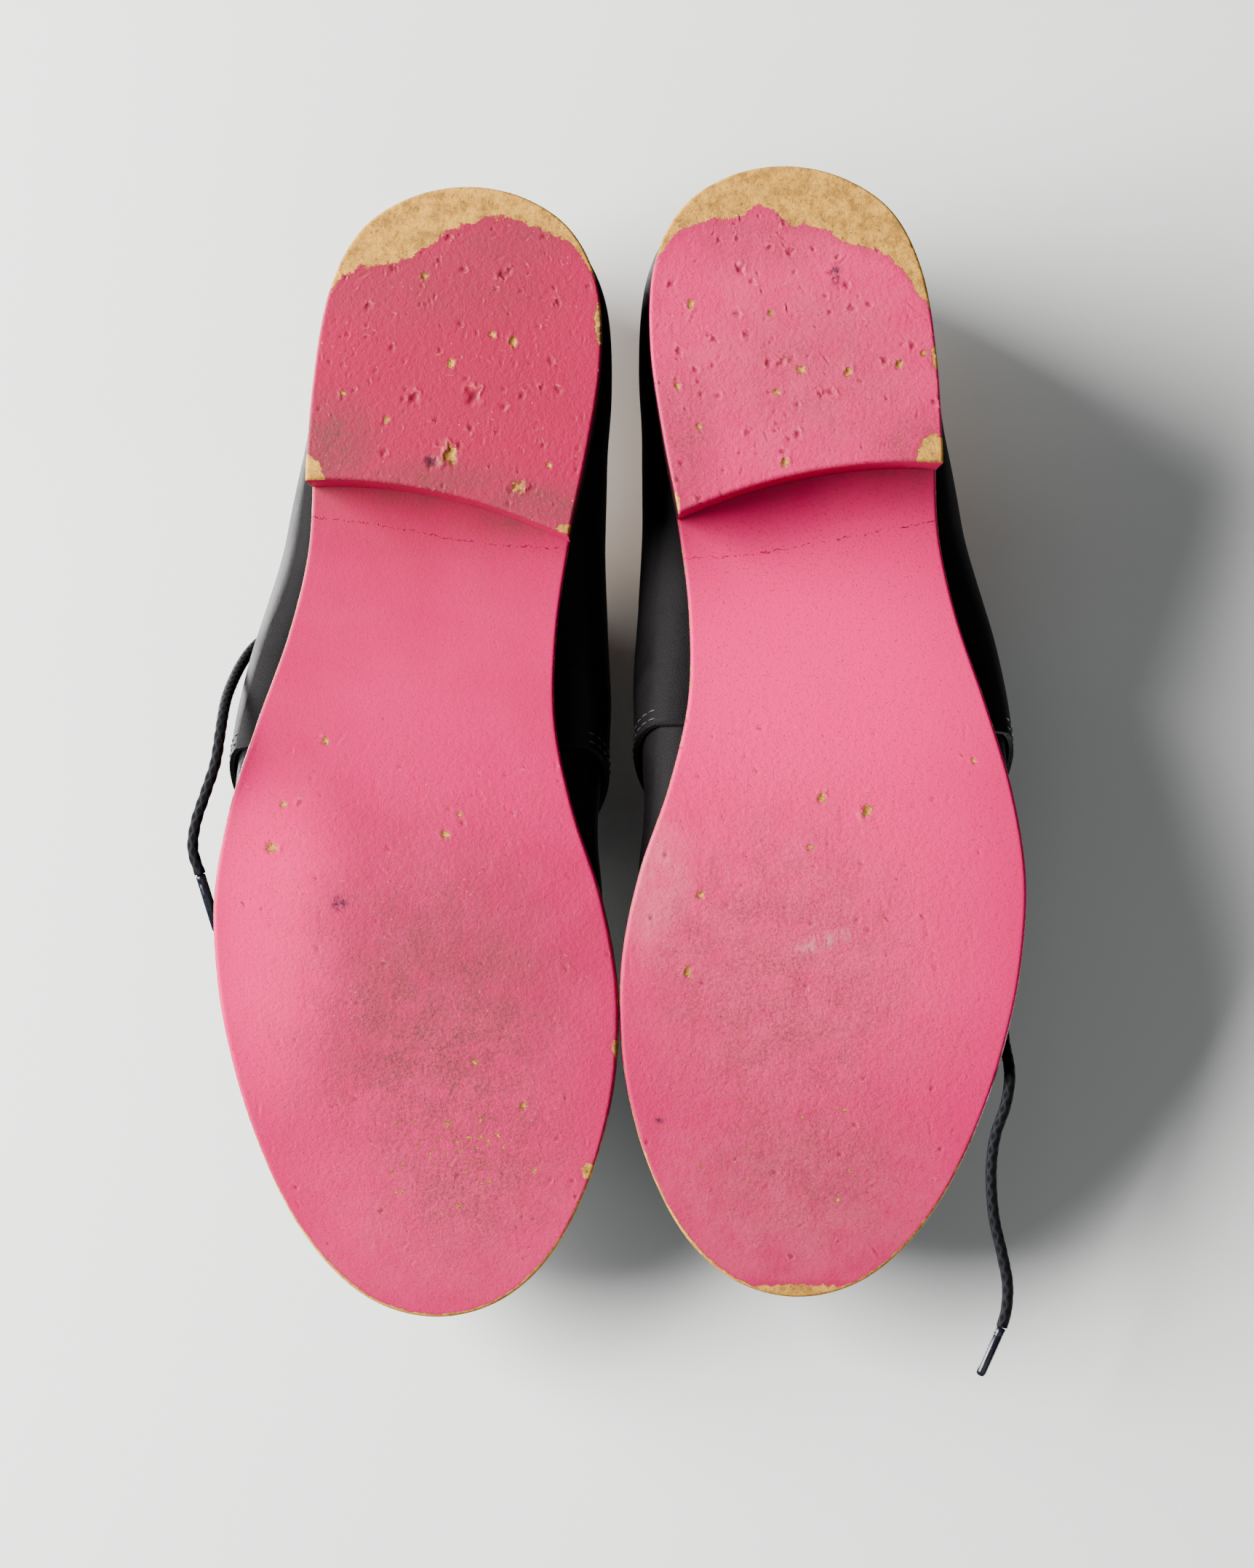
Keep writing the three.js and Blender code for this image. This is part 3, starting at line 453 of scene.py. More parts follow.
def painted_leather():
    """Pink paint on a leather sole: grain, dirt trodden in, and bare leather where it wore through.
    Painted shade darkens the scars' hollows, the rims round their bare specks and the paint along torn
    edges, and a painted sheen lies on the right sole's medial ball.
    """
    s = Shader("painted_leather", 0.46)
    cloud = s.noise(38, 3, 0.55)
    fine = s.noise(0.55, 3, 0.6)
    fibre = s.noise(1.5, 3, 0.62, 0.4)
    paint = s.mix(s.span(cloud, 0.32, 0.68), PINK, PINK_LIGHT)
    paint = s.mix(s.span(fine, 0.42, 0.75, 0, 0.3), paint, PINK_DEEP)
    # paler paint over broad patches and over most of the right sole
    paint = s.mix(s.field("paler"), paint, PINK_PALE)
    paint = s.mix(s.field("rubbed"), paint, PINK_RUBBED)
    patchy = s.span(s.noise(9, 4, 0.7), 0.25, 0.7, 0.3, 1)
    # dust film, which on the right sole's medial ball is a painted sheen
    paint = s.mix(s.math("MULTIPLY", s.field("dust"), patchy), paint, DUST_AND_SHEEN)
    worn = s.field("worn")
    ground = s.math("MULTIPLY", s.field("dirt"), s.span(s.noise(7, 4, 0.65), 0.22, 0.7, 0.45, 1.15))
    speck = s.span(s.noise(0.8, 5, 0.8), 0.4, 0.62, -0.35, 0.4)
    soil = s.math("MULTIPLY", ground, s.math("ADD", 0.7, speck), True)
    paint = s.mix(soil, paint, DIRT)
    tread = s.math("MULTIPLY", s.span(s.cells(2.3), 0.07, 0.16, 1, 0), s.span(s.noise(11, 2), 0.5, 0.62))
    paint = s.mix(s.math("MULTIPLY", tread, worn), paint, (0.5, 0.11, 0.1, 1))
    scratch = s.span(s.noise(2.2, 2, 0.5, 0.6, (1, 0.16, 1)), 0.63, 0.7, 0, 0.4)
    paint = s.mix(s.math("MULTIPLY", scratch, worn), paint, (0.3, 0.03, 0.05, 1))
    leather = s.mix(s.span(s.noise(4.2, 5, 0.75), 0.36, 0.68), RAW, (0.27, 0.13, 0.028, 1))
    leather = s.mix(s.span(s.noise(1.1, 4, 0.7), 0.56, 0.7, 0, 0.85), leather, RAW_DARK_AND_RIM_SHADE)
    ragged = s.math("MULTIPLY", s.math("SUBTRACT", s.noise(2.6, 5, 0.72), 0.5), 5.2)
    bare = s.span(s.math("ADD", s.field("bare"), ragged), -0.12, 0.16)
    shade = s.span(s.math("ADD", s.field("bare"), ragged), -2.6, 0.0, 0, 0.3)
    paint = s.mix(shade, paint, (0.22, 0.02, 0.03, 1))
    colour = s.mix(bare, paint, leather)
    stain = s.math("MULTIPLY", s.field("stain"), s.span(s.noise(1.6, 3, 0.7), 0.34, 0.6), True)
    colour = s.mix(stain, colour, (0.03, 0.022, 0.035, 1))
    streaks = s.span(s.noise(1.3, 3, 0.7, 0, (1, 0.25, 1)), 0.42, 0.6)
    smear = s.math("MULTIPLY", s.field("smear"), streaks, True)
    colour = s.mix(s.math("MULTIPLY", smear, 0.6), colour, (0.55, 0.2, 0.22, 1))
    wander = s.math("MULTIPLY", s.math("SUBTRACT", s.noise(1.4, 4), 0.5), 2.2)
    crack = s.span(s.math("ABSOLUTE", s.math("ADD", s.field("crack"), wander)), 0.02, 0.22, 1, 0)
    broken = s.math("MULTIPLY", crack, s.span(s.noise(2.4, 4, 0.7), 0.44, 0.56))
    colour = s.mix(s.math("MULTIPLY", broken, 0.5), colour, (0.15, 0.01, 0.02, 1))
    # painted shade: the paint is darker in the hollows of the scars and in the grooves of the nicks
    pit_shade = s.field("pit_shade")
    colour = s.mix(s.span(pit_shade, 0.1, 0.9, 0, 0.55), colour, (0.14, 0.012, 0.025, 1))
    tatters = s.math("MULTIPLY", s.noise(0.6, 5, 0.8), 1.75)
    torn = s.math("ADD", s.math("MULTIPLY", s.field("core"), 0.62), tatters)
    # painted shade: a dark ragged rim round the bare specks of the scars
    colour = s.mix(s.span(torn, 1.0, 1.1, 0, 0.85), colour, RAW_DARK_AND_RIM_SHADE)
    colour = s.mix(s.span(torn, 1.2, 1.28), colour, leather)
    colour = s.mix(s.span(s.field("flake"), 0.3, 0.95, 0, 0.34), colour, (0.6, 0.2, 0.12, 1))
    s.set("Base Color", colour)
    rough = s.math("ADD", s.span(s.noise(9, 3), 0.3, 0.7, 0.36, 0.5), s.math("MULTIPLY", soil, 0.16))
    s.set("Roughness", s.math("ADD", rough, s.math("MULTIPLY", bare, 0.3), True))
    s.set("Specular IOR Level", 0.09)
    nap = s.math("MULTIPLY", fibre, s.math("ADD", 0.35, worn))
    relief = s.math("ADD", nap, s.math("MULTIPLY", fine, 0.3))
    relief = s.math("SUBTRACT", relief, s.math("MULTIPLY", bare, 0.6))
    relief = s.math("SUBTRACT", relief, broken)
    s.set("Normal", s.bump(relief, 0.24, 0.75))
    return s.material


def edge_dressing():
    """Black ink on the cut sides of the sole and of the heel's lifts, with the layers showing through."""
    s = Shader("edge_dressing", 0.42)
    layers = s.noise(2.6, 4, 0.7, 0, (0.09, 0.09, 2.2))
    colour = s.mix(s.span(layers, 0.35, 0.7), srgb(15, 13, 14), srgb(36, 31, 33))
    scuff = s.span(s.noise(4, 5, 0.75), 0.66, 0.74, 0, 0.55)
    colour = s.mix(scuff, colour, srgb(92, 64, 50))
    s.set("Base Color", colour)
    s.set("Roughness", s.span(layers, 0.3, 0.7, 0.36, 0.6))
    s.set("Specular IOR Level", 0.2)
    s.set("Normal", s.bump(layers, 0.25, 0.6))
    return s.material


def black_leather():
    """Smooth matt calf, with fine pores, faint creases and a little dust in the grain."""
    s = Shader("black_leather", 0.6)
    grain = s.cells(0.75, "DISTANCE_TO_EDGE")
    pores = s.noise(0.35, 2, 0.6)
    cloud = s.noise(24, 4, 0.6)
    colour = s.mix(s.span(cloud, 0.3, 0.7), (0.0044, 0.0037, 0.0041, 1), (0.0088, 0.0076, 0.0082, 1))
    colour = s.mix(s.span(grain, 0.0, 0.12, 0.4, 0), colour, (0.0015, 0.001, 0.0012, 1))
    colour = s.mix(s.span(s.noise(3, 5, 0.75), 0.66, 0.8, 0, 0.16), colour, (0.03, 0.028, 0.027, 1))
    s.set("Base Color", colour)
    s.set("Roughness", s.span(cloud, 0.25, 0.75, 0.5, 0.62))
    s.set("Specular IOR Level", 0.05)
    wrinkle = s.noise(5.5, 4, 0.55, 0.8)
    fine = s.bump(s.math("ADD", s.span(grain, 0, 0.2), s.math("MULTIPLY", pores, 0.6)), 0.05, 0.6)
    s.set("Normal", s.bump(wrinkle, 0.5, 0.22, fine))
    return s.material


def tan_leather():
    """Undyed lining leather, rubbed darker and smoother in places."""
    s = Shader("tan_leather", 0.62)
    cloud = s.noise(30, 4, 0.6)
    colour = s.mix(s.span(cloud, 0.3, 0.7), srgb(206, 164, 118), srgb(182, 136, 92))
    colour = s.mix(s.span(s.noise(1.2, 4, 0.7), 0.55, 0.8, 0, 0.4), colour, srgb(140, 98, 62))
    s.set("Base Color", colour)
    s.set("Roughness", s.span(cloud, 0.3, 0.7, 0.5, 0.72))
    s.set("Normal", s.bump(s.math("ADD", s.noise(0.5, 3, 0.6), s.cells(0.9)), 0.08, 0.7))
    return s.material


def cork():
    s = Shader("cork", 0.95)
    crumb = s.cells(1.7, output="Color")
    edge = s.cells(1.7, "DISTANCE_TO_EDGE")
    tone = s.math("MULTIPLY", crumb, 1.0)
    colour = s.mix(tone, srgb(190, 144, 96), srgb(134, 92, 54))
    s.set("Base Color", s.mix(s.span(edge, 0, 0.1, 0.7, 0), colour, srgb(84, 54, 30)))
    s.set("Roughness", s.span(edge, 0, 0.3, 0.98, 0.85))
    s.set("Normal", s.bump(edge, 0.5))
    return s.material


def black_enamel():
    """Stove enamel on brass, rubbed through on the rim of an eyelet."""
    s = Shader("black_enamel", 0.3)
    rub = s.span(s.math("ADD", s.field("rim"), s.math("MULTIPLY", s.noise(0.6, 3, 0.7), 0.7)), 1.12, 1.3)
    s.set("Base Color", s.mix(rub, srgb(22, 21, 22), srgb(150, 120, 74)))
    s.set("Metallic", s.math("MULTIPLY", rub, 0.9))
    s.set("Roughness", s.span(s.noise(1.4, 3), 0.3, 0.7, 0.24, 0.4))
    s.set("Normal", s.bump(s.noise(0.8, 3), 0.02))
    return s.material


def waxed_cotton():
    """The lace's yarn: near black with a blue cast, each strand catching a little light."""
    s = Shader("waxed_cotton", 0.7)
    yarn = s.field("yarn")
    hair = s.noise(0.22, 3, 0.7)
    colour = s.mix(s.span(yarn, 0.1, 0.9), (0.001, 0.001, 0.0014, 1), (0.007, 0.007, 0.0095, 1))
    s.set("Base Color", s.mix(s.span(hair, 0.4, 0.8, 0, 0.4), colour, (0.014, 0.014, 0.018, 1)))
    s.set("Roughness", s.span(yarn, 0, 1, 0.88, 0.62))
    s.set("Sheen Weight", 0.02)
    s.set("Specular IOR Level", 0.1)
    s.set("Normal", s.bump(hair, 0.08, 0.7))
    return s.material


def black_acetate():
    s = Shader("black_acetate", 0.2)
    s.set("Base Color", s.mix(s.noise(3, 2), srgb(10, 11, 18), srgb(22, 23, 34)))
    s.set("Roughness", s.span(s.noise(0.8, 3), 0.3, 0.7, 0.14, 0.3))
    s.set("Normal", s.bump(s.noise(1.5, 3), 0.05, 0.5))
    return s.material


# Finishes of one noise: its settings, two colours, the range of roughness, metal and relief.
PLAIN_FINISHES = {
    "fibre_board": (
        (1.4, 5, 0.75, 0.8, (1, 0.35, 1)), srgb(196, 172, 132), srgb(146, 118, 82), 0.82, 0.95, 0, 0.2,
    ),
    "spring_steel": (
        (0.8, 3, 0.6, 0, (4, 0.05, 4)), srgb(170, 172, 174), srgb(120, 122, 126), 0.25, 0.45, 1, 0.03,
    ),
    "stiffened_felt": (
        (0.9, 6, 0.8, 1.2), srgb(226, 218, 200), srgb(170, 160, 142), 0.88, 1.0, 0, 0.25,
    ),
    "linen_thread": ((0.3, 2, 0.6), srgb(26, 24, 27), srgb(58, 54, 58), 0.5, 0.75, 0, 0.06),
}


def plain_finish(name):
    settings, light, dark, smooth, rough, metal, relief = PLAIN_FINISHES[name]
    s = Shader(name, rough)
    pattern = s.noise(*settings)
    s.set("Base Color", s.mix(pattern, light, dark))
    s.set("Metallic", metal)
    s.set("Roughness", s.span(pattern, 0.3, 0.7, smooth, rough))
    s.set("Normal", s.bump(pattern, relief))
    return s.material


MATERIALS = {
    "paint": painted_leather(), "edge": edge_dressing(), "leather": black_leather(),
    "tan": tan_leather(), "board": plain_finish("fibre_board"), "cork": cork(),
    "steel": plain_finish("spring_steel"), "felt": plain_finish("stiffened_felt"),
    "enamel": black_enamel(), "cotton": waxed_cotton(), "acetate": black_acetate(),
    "thread": plain_finish("linen_thread"),
}


# ---- meshes ----

def new_object(name, shoe, points, faces, materials, kinds=None, fields=None):
    """A piece from points in the shoe's frame. kinds gives each face its material's number."""
    mesh = bpy.data.meshes.new(name)
    faces = faces.tolist() if isinstance(faces, np.ndarray) else faces
    if shoe == "right":
        faces = [face[::-1] for face in faces]
    world = placed(shoe, points)
    mesh.from_pydata(world.tolist(), [], faces)
    for kind in materials:
        mesh.materials.append(MATERIALS[kind])
    if kinds is not None:
        mesh.polygons.foreach_set("material_index", np.asarray(kinds, np.int32))
    mesh.polygons.foreach_set("use_smooth", np.full(len(mesh.polygons), True))
    for key, values in (fields or {}).items():
        layer = mesh.attributes.new(key, "FLOAT", "POINT")
        layer.data.foreach_set("value", np.asarray(values, np.float32))
    mesh.update()
    obj = bpy.data.objects.new(name, mesh)
    bpy.context.scene.collection.objects.link(obj)
    return obj


def settle(obj, shoe, node, body="shoe"):
    """Says which body carries the piece, and hides the CAD node it stands for, if any."""
    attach(obj, f"{shoe}_{body}")
    if node:
        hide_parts(f"{shoe}_{node}")


JOIN_DISTANCE = 0.00001
BEVEL_ANGLE = 50


def tidy(obj):
    """Joins points that share a place, drops faces that closed up and turns the rest outward."""
    work = bmesh.new()
    work.from_mesh(obj.data)
    bmesh.ops.remove_doubles(work, verts=work.verts, dist=JOIN_DISTANCE)
    bmesh.ops.dissolve_degenerate(work, edges=work.edges, dist=JOIN_DISTANCE / 10)
    bmesh.ops.recalc_face_normals(work, faces=work.faces)
    work.to_mesh(obj.data)
    work.free()
    obj.data.update()
    return obj


def hard_edges(obj, degrees):
    obj.data.set_sharp_from_angle(angle=math.radians(degrees))


def rounded(obj, width):
    bevel = obj.modifiers.new("rounded", "BEVEL")
    bevel.width = width * MM
    bevel.segments = 2
    bevel.limit_method = "ANGLE"
    bevel.angle_limit = math.radians(BEVEL_ANGLE)
    bevel.use_clamp_overlap = True


def loft(rings, per_ring):
    """Faces between rings of per_ring points each, every ring closed."""
    i = np.arange(rings - 1)[:, None] * per_ring
    j = np.arange(per_ring)[None, :]
    k = (j + 1) % per_ring
    quads = np.stack([i + j, i + k, i + k + per_ring, i + j + per_ring], -1)
    return quads.reshape(-1, 4)


# ---- laces ----

LOOSE_ENDS = {
    "left_lateral": [
        (.0233, .0246, .1002), (.0257, .0255, .0989), (.032, .03, .0951), (.0371, .0337, .0905),
        (.0421, .0359, .0842), (.0468, .0366, .0761), (.0512, .0359, .0664), (.0549, .033, .0562),
        (.0579, .028, .0452), (.0598, .018, .022), (.0599, .013, .012), (.06, .006, .004),
        (.061, -.002, .0017), (.0636, -.01, .0017), (.0662, -.018, .0017), (.067, -.025, .0019),
        (.0652, -.0316, .0027),
    ],
    "right_lateral": [
        (.0233, .0246, .1002), (.0257, .0255, .0989), (.0333, .0225, .0913), (.0409, .0137, .0806),
        (.0473, .0032, .0691), (.0528, -.0092, .0574), (.0565, -.0215, .0472), (.0583, -.0336, .0389),
        (.059, -.0455, .0324), (.0593, -.0575, .027), (.0588, -.0697, .022), (.058, -.0795, .0177),
        (.0586, -.088, .0085), (.0582, -.092, .0042), (.0569, -.098, .0019), (.0546, -.105, .0017),
        (.0536, -.112, .0017), (.0536, -.119, .0017), (.0546, -.128, .0017), (.0568, -.137, .0017),
        (.0584, -.145, .0017), (.0582, -.152, .0017), (.0571, -.1564, .0017),
    ],
}
MEDIAL_END = [
    (-.0315, .0249, .0857), (-.0331, .0257, .0834), (-.0344, .0226, .0796), (-.0343, .0152, .0762),
    (-.0339, .0057, .0708), (-.0337, -.0042, .0659), (-.0327, -.0152, .0624), (-.0314, -.0259, .0601),
    (-.0298, -.0352, .0585), (-.0281, -.0458, .057), (-.027, -.0564, .0557), (-.0266, -.0669, .0539),
    (-.0266, -.0758, .0521),
]
LOOSE_ENDS["left_medial"] = MEDIAL_END
LOOSE_ENDS["right_medial"] = MEDIAL_END
TIPS = {
    "left_lateral": (.061, -.0472, .0072), "right_lateral": (.0515, -.1695, .0017),
    "left_medial": (-.0269, -.0893, .0493), "right_medial": (-.0269, -.0893, .0493),
}


CORD_STEP = 0.4


def smooth_line(points):
    """The centripetal curve through the points, cut into equal steps of about CORD_STEP."""
    p = np.asarray(points, float)
    p = np.vstack([2 * p[0] - p[1], p, 2 * p[-1] - p[-2]])
    line = []
    for i in range(1, len(p) - 2):
        a, b, c, d = p[i - 1:i + 3]
        t0 = 0.0
        t1 = t0 + np.linalg.norm(b - a) ** 0.5
        t2 = t1 + np.linalg.norm(c - b) ** 0.5
        t3 = t2 + np.linalg.norm(d - c) ** 0.5
        t = np.linspace(t1, t2, 24, endpoint=False)[:, None]
        ab = (t1 - t) / (t1 - t0) * a + (t - t0) / (t1 - t0) * b
        bc = (t2 - t) / (t2 - t1) * b + (t - t1) / (t2 - t1) * c
        cd = (t3 - t) / (t3 - t2) * c + (t - t2) / (t3 - t2) * d
        abc = (t2 - t) / (t2 - t0) * ab + (t - t0) / (t2 - t0) * bc
        bcd = (t3 - t) / (t3 - t1) * bc + (t - t1) / (t3 - t1) * cd
        line.append((t2 - t) / (t2 - t1) * abc + (t - t1) / (t2 - t1) * bcd)
    line = np.vstack(line + [p[-2:-1]])
    along = np.concatenate([[0], np.cumsum(np.linalg.norm(np.diff(line, axis=0), axis=1))])
    count = max(2, int(round(along[-1] / CORD_STEP)))
    even = np.linspace(0, along[-1], count + 1)
    return np.stack([np.interp(even, along, line[:, k]) for k in range(3)], -1)


def carried_frames(line):
    """A side and a top at each point of the line, turning no more than the line does."""
    tangent = unit(np.gradient(line, axis=0))
    side = np.zeros_like(line)
    first = np.cross(tangent[0], [0, 0, 1.0])
    if np.linalg.norm(first) < 0.1:
        first = np.cross(tangent[0], [1.0, 0, 0])
    side[0] = unit(first)
    for i in range(1, len(line)):
        v = side[i - 1] - tangent[i] * np.dot(side[i - 1], tangent[i])
        side[i] = v / max(np.linalg.norm(v), 1e-9)
    return side, np.cross(tangent, side)


def braided(name, shoe, line, diameter):
    """A round braid along the line: strands run both ways round it, over and under one another."""
    around = 24
    pairs = 4
    pitch = 7.5
    depth = 0.16
    side, top = carried_frames(line)
    along = np.concatenate([[0], np.cumsum(np.linalg.norm(np.diff(line, axis=0), axis=1))])
    turn = np.linspace(0, 2 * math.pi, around, endpoint=False)
    run = 2 * math.pi * along[:, None] / pitch
    right = np.cos(pairs * (turn[None, :] + run / pairs * 2))
    left = np.cos(pairs * (turn[None, :] - run / pairs * 2))
    yarn = np.clip(np.maximum(right, left), 0, 1) ** 0.7
    radius = diameter / 2 - depth * (1 - yarn)
    ring = np.cos(turn)[None, :, None] * side[:, None] + np.sin(turn)[None, :, None] * top[:, None]
    points = line[:, None] + ring * radius[..., None]
    count = len(line)
    here = np.arange(around)
    following = (here + 1) % around
    start = np.stack([np.full(around, count * around), following, here], -1)
    last = (count - 1) * around
    end = np.stack([np.full(around, count * around + 1), last + here, last + following], -1)
    faces = loft(count, around).tolist() + start.tolist() + end.tolist()
    points = np.vstack([points.reshape(-1, 3), line[0], line[-1]])
    fields = {"yarn": np.concatenate([yarn.ravel(), [0, 0]])}
    return new_object(name, shoe, points, faces, ["cotton"], fields=fields)


def turned_piece(name, shoe, centre, axis, profile, around, kind, field=None):
    """A shape turned round an axis. profile is (radius, level) all the way round its section."""
    axis = unit(np.asarray(axis, float))
    helper = np.array([0, 0, 1.0]) if abs(axis[2]) < 0.9 else np.array([1.0, 0, 0])
    side = unit(np.cross(axis, helper))
    top = np.cross(axis, side)
    turn = np.linspace(0, 2 * math.pi, around, endpoint=False)
    ring = np.cos(turn)[:, None] * side + np.sin(turn)[:, None] * top
    radii = np.array([p[0] for p in profile])
    levels = np.array([p[1] for p in profile])
    points = (np.asarray(centre)[None, None] + ring[:, None] * radii[None, :, None]
              + axis[None, None] * levels[None, :, None]).reshape(-1, 3)
    n = len(profile)
    faces = loft(around, n).tolist()
    last = (around - 1) * n
    faces += [[last + j, last + (j + 1) % n, (j + 1) % n, j] for j in range(n)]
    fields = {"rim": np.tile(field, around)} if field is not None else None
    return tidy(new_object(name, shoe, points, faces, [kind], fields=fields))


def aglet(name, shoe, start, tip):
    axis = tip - start
    length = np.linalg.norm(axis)
    r = AGLET_DIAMETER / 2
    profile = [
        (0, GAP), (r - 0.25, GAP), (r, GAP + 0.25), (r, 2.2), (r - 0.12, 2.4), (r, 2.6),
        (r, length - 1.2), (r - 0.2, length - 0.5), (r - 0.6, length - 0.1), (0, length),
    ]
    return turned_piece(name, shoe, start, axis, profile, 24, "acetate")


def loose_ends():
    """The lace's four free ends, each a cord from its top eyelet down to its tip."""
    for key, points in LOOSE_ENDS.items():
        shoe, which = key.split("_")
        line = smooth_line(np.array(points) / MM)
        name = f"{shoe}_lace_end_{which}"
        lace = braided(f"{name}_braid", shoe, line, LACE_DIAMETER)
        tip = aglet(f"{shoe}_aglet_{which}_tip", shoe, line[-1], np.array(TIPS[key]) / MM)
        settle(lace, shoe, f"lace_end_{which}")
        settle(tip, shoe, f"aglet_{which}")
        path = placed(shoe, line)
        steps = np.linalg.norm(np.diff(path, axis=0), axis=1).sum()
        print(f"cord {name}: {steps:.4f} m")


loose_ends()


# ---- wear of the soles, in each shoe's frame ----

def segment_distance(x, y, line):
    """Distance from each point to a line of straight pieces."""
    best = np.full(x.shape, 1e9)
    for (ax, ay), (bx, by) in zip(line[:-1], line[1:]):
        dx, dy = bx - ax, by - ay
        if dx == 0 and dy == 0:
            continue
        t = np.clip(((x - ax) * dx + (y - ay) * dy) / (dx * dx + dy * dy), 0, 1)
        best = np.minimum(best, np.hypot(x - ax - t * dx, y - ay - t * dy))
    return best


def bell(x, y, cx, cy, rx, ry, power=2.0):
    """1 at the centre, falling softly to nothing past about 1.5 radii."""
    return np.exp(-(np.hypot((x - cx) / rx, (y - cy) / ry) ** power))


# The line where the heel's paint gives way to bare leather, from the lateral side to the medial side.
BARE_HEEL = {
    "left": [
        (36, 118), (30, 124), (26, 128), (19, 130), (13, 131), (6, 134), (1, 138), (-6, 141),
        (-13, 143), (-19, 142), (-27, 139), (-33, 136), (-38, 130), (-44, 120),
    ],
    "right": [
        (36, 112), (30, 117), (26, 123), (20, 128), (11, 131), (1, 135), (-6, 136), (-9, 139),
        (-14, 140), (-20, 137), (-28, 136), (-34, 133), (-38, 129), (-44, 118),
    ],
}
# Bare patches at corners and on edges: x, y, reach across and along.
BARE_PATCHES = {
    "left": [
        (37, 73, 5, 7), (26, 71.5, 4, 1.2), (-33, 60, 3, 1.2), (-41.5, 114.5, 1.6, 5),
        (-45.8, -78, 1.3, 2.6), (-38.5, -111, 2.2, 2.2),
    ],
    "right": [
        (-35, 60, 2.2, 4.5), (34.5, 74, 4.5, 6.5), (34.5, 101, 1.3, 2.5), (4, -150, 17, 2.5),
    ],
}
# Scars that show bare leather: x, y and size.
RAW_SCARS = {
    "left": [
        (-13, 111.5, 1.5), (-18.5, 109.5, 2), (-2, 80, 3.4), (-19.5, 71, 2.6), (46, -25, 2.2),
        (0, -21, 1.8), (-8, -81.5, 1.3), (-21, -93.5, 1.6), (5.5, 127, 1.6), (27, 96, 1.2),
        (15.5, 89, 1.4), (43, -13, 1.3), (-4, -16, 1.2), (-28, 77, 1.2),
    ],
    "right": [
        (-9.5, 112, 1.3), (11.5, 96.5, 1.8), (-7.5, 91, 1.5), (25, 99, 1.8), (31, 102, 1.3),
        (6.5, -17, 2), (19, -20, 2.4), (3.5, -30, 1.4), (-25, -43, 1.7), (-28, -63.5, 2),
        (-28, 81, 1.3), (47, -6, 1.2), (-5, 72, 1.8), (-34, 92, 1.4),
    ],
}
# Raised flakes and dents without bare leather.
FLAKES = {
    "left": [
        (-8, 95, 4), (8, 95, 3), (-15.5, 127.5, 2.6), (1, 107.5, 1.4), (3.5, 78, 3),
        (-20.5, 95.5, 1.8), (-26, 97.5, 1.6), (16, -55.5, 1.5),
    ],
    "right": [
        (-18, 123, 2.4), (-18.5, 111.5, 1.8), (6.5, 91, 2), (21, 100, 2), (-4, -117, 1.6),
        (4, -50, 1.6),
    ],
}
STAINS = {
    "left": [(28, -39.5, 2.2, 2.2), (3.5, 78, 2, 1.7), (-41.5, 114, 1.2, 4)],
    "right": [(7.5, 122.5, 1.3, 3.2), (-35, -103, 1.3, 1.2)],
}
SMEARS = {"left": [], "right": [(8, -54.5, 9, 2.4, 0.35)]}
CRACKS = {
    "left": [(37, 65), (18, 62.5), (-7, 58), (-20, 57), (-32, 56.5)],
    "right": [(36, 59), (22, 56), (7, 53), (-13, 49), (-33, 47.5)],
}
# Clouds of trodden dirt: x, y, reach across and along, strength.
DIRT_CLOUDS = {
    "left": [
        (2, -72, 36, 46, 0.85), (-8, -104, 30, 34, 0.72), (20, -44, 22, 16, 0.5),
        (31, 82, 13, 13, 1.0), (-24, 66, 18, 7, 0.9), (4, 73, 24, 6, 0.7), (-18, 137, 18, 8, 0.6),
        (0, 126, 36, 12, 0.4),
    ],
    "right": [
        (-2, -66, 36, 46, 0.66), (-27, -62, 12, 26, 0.62), (4, -112, 28, 26, 0.56),
        (-14, 131, 20, 9, 0.5), (30, 76, 14, 12, 0.6), (-32, 78, 10, 22, 0.6), (2, 96, 26, 24, 0.4),
    ],
}
WEAR_FIELDS = (
    "depth", "pit_shade", "core", "flake", "stain", "smear", "dirt", "worn", "paler", "rubbed", "dust",
)
# Broad films over the paint: x, y, reach across and along, strength. The right shoe's first dust film, on
# its medial ball, is a painted sheen.
FILMS = {
    "left": {
        "paler": [(46, -50, 18, 46, 0.85), (0, 14, 50, 34, 0.2), (0, -112, 50, 40, 0.45)],
        "rubbed": [(0, 104, 60, 50, 0.8)],
        "dust": [(0, -128, 46, 26, 0.22), (38, -62, 18, 42, 0.1), (0, -70, 40, 44, 0.12)],
    },
    "right": {
        "paler": [(4, 12, 60, 58, 0.95), (10, -40, 60, 70, 0.8), (0, 100, 60, 50, 0.6)],
        "rubbed": [(0, 104, 50, 24, 0.2)],
        "dust": [
            # the first film is a painted sheen on the medial ball, the others dust
            (-36, -42, 9, 20, 0.7), (0, -64, 40, 44, 0.3), (0, -124, 44, 28, 0.36), (0, 104, 44, 44, 0.26),
        ],
    },
}
ALL = slice(None)
# What these two fields say where there is no bare patch or crack near: a distance far outside, in mm.
NO_WEAR = {"bare": -20.0, "crack": 20.0}
SEEDS = {"left": 11, "right": 23}
# Patches further back than this are on the heel.
BREAST_LINE = 50


def outline_distance(x, y):
    """How far inside the sole's outline each point is."""
    station = np.linspace(0, 1, 181)
    line = np.vstack([edge_point(1, station), edge_point(-1, station[::-1])])
    return segment_distance(x, y, [tuple(p) for p in line])


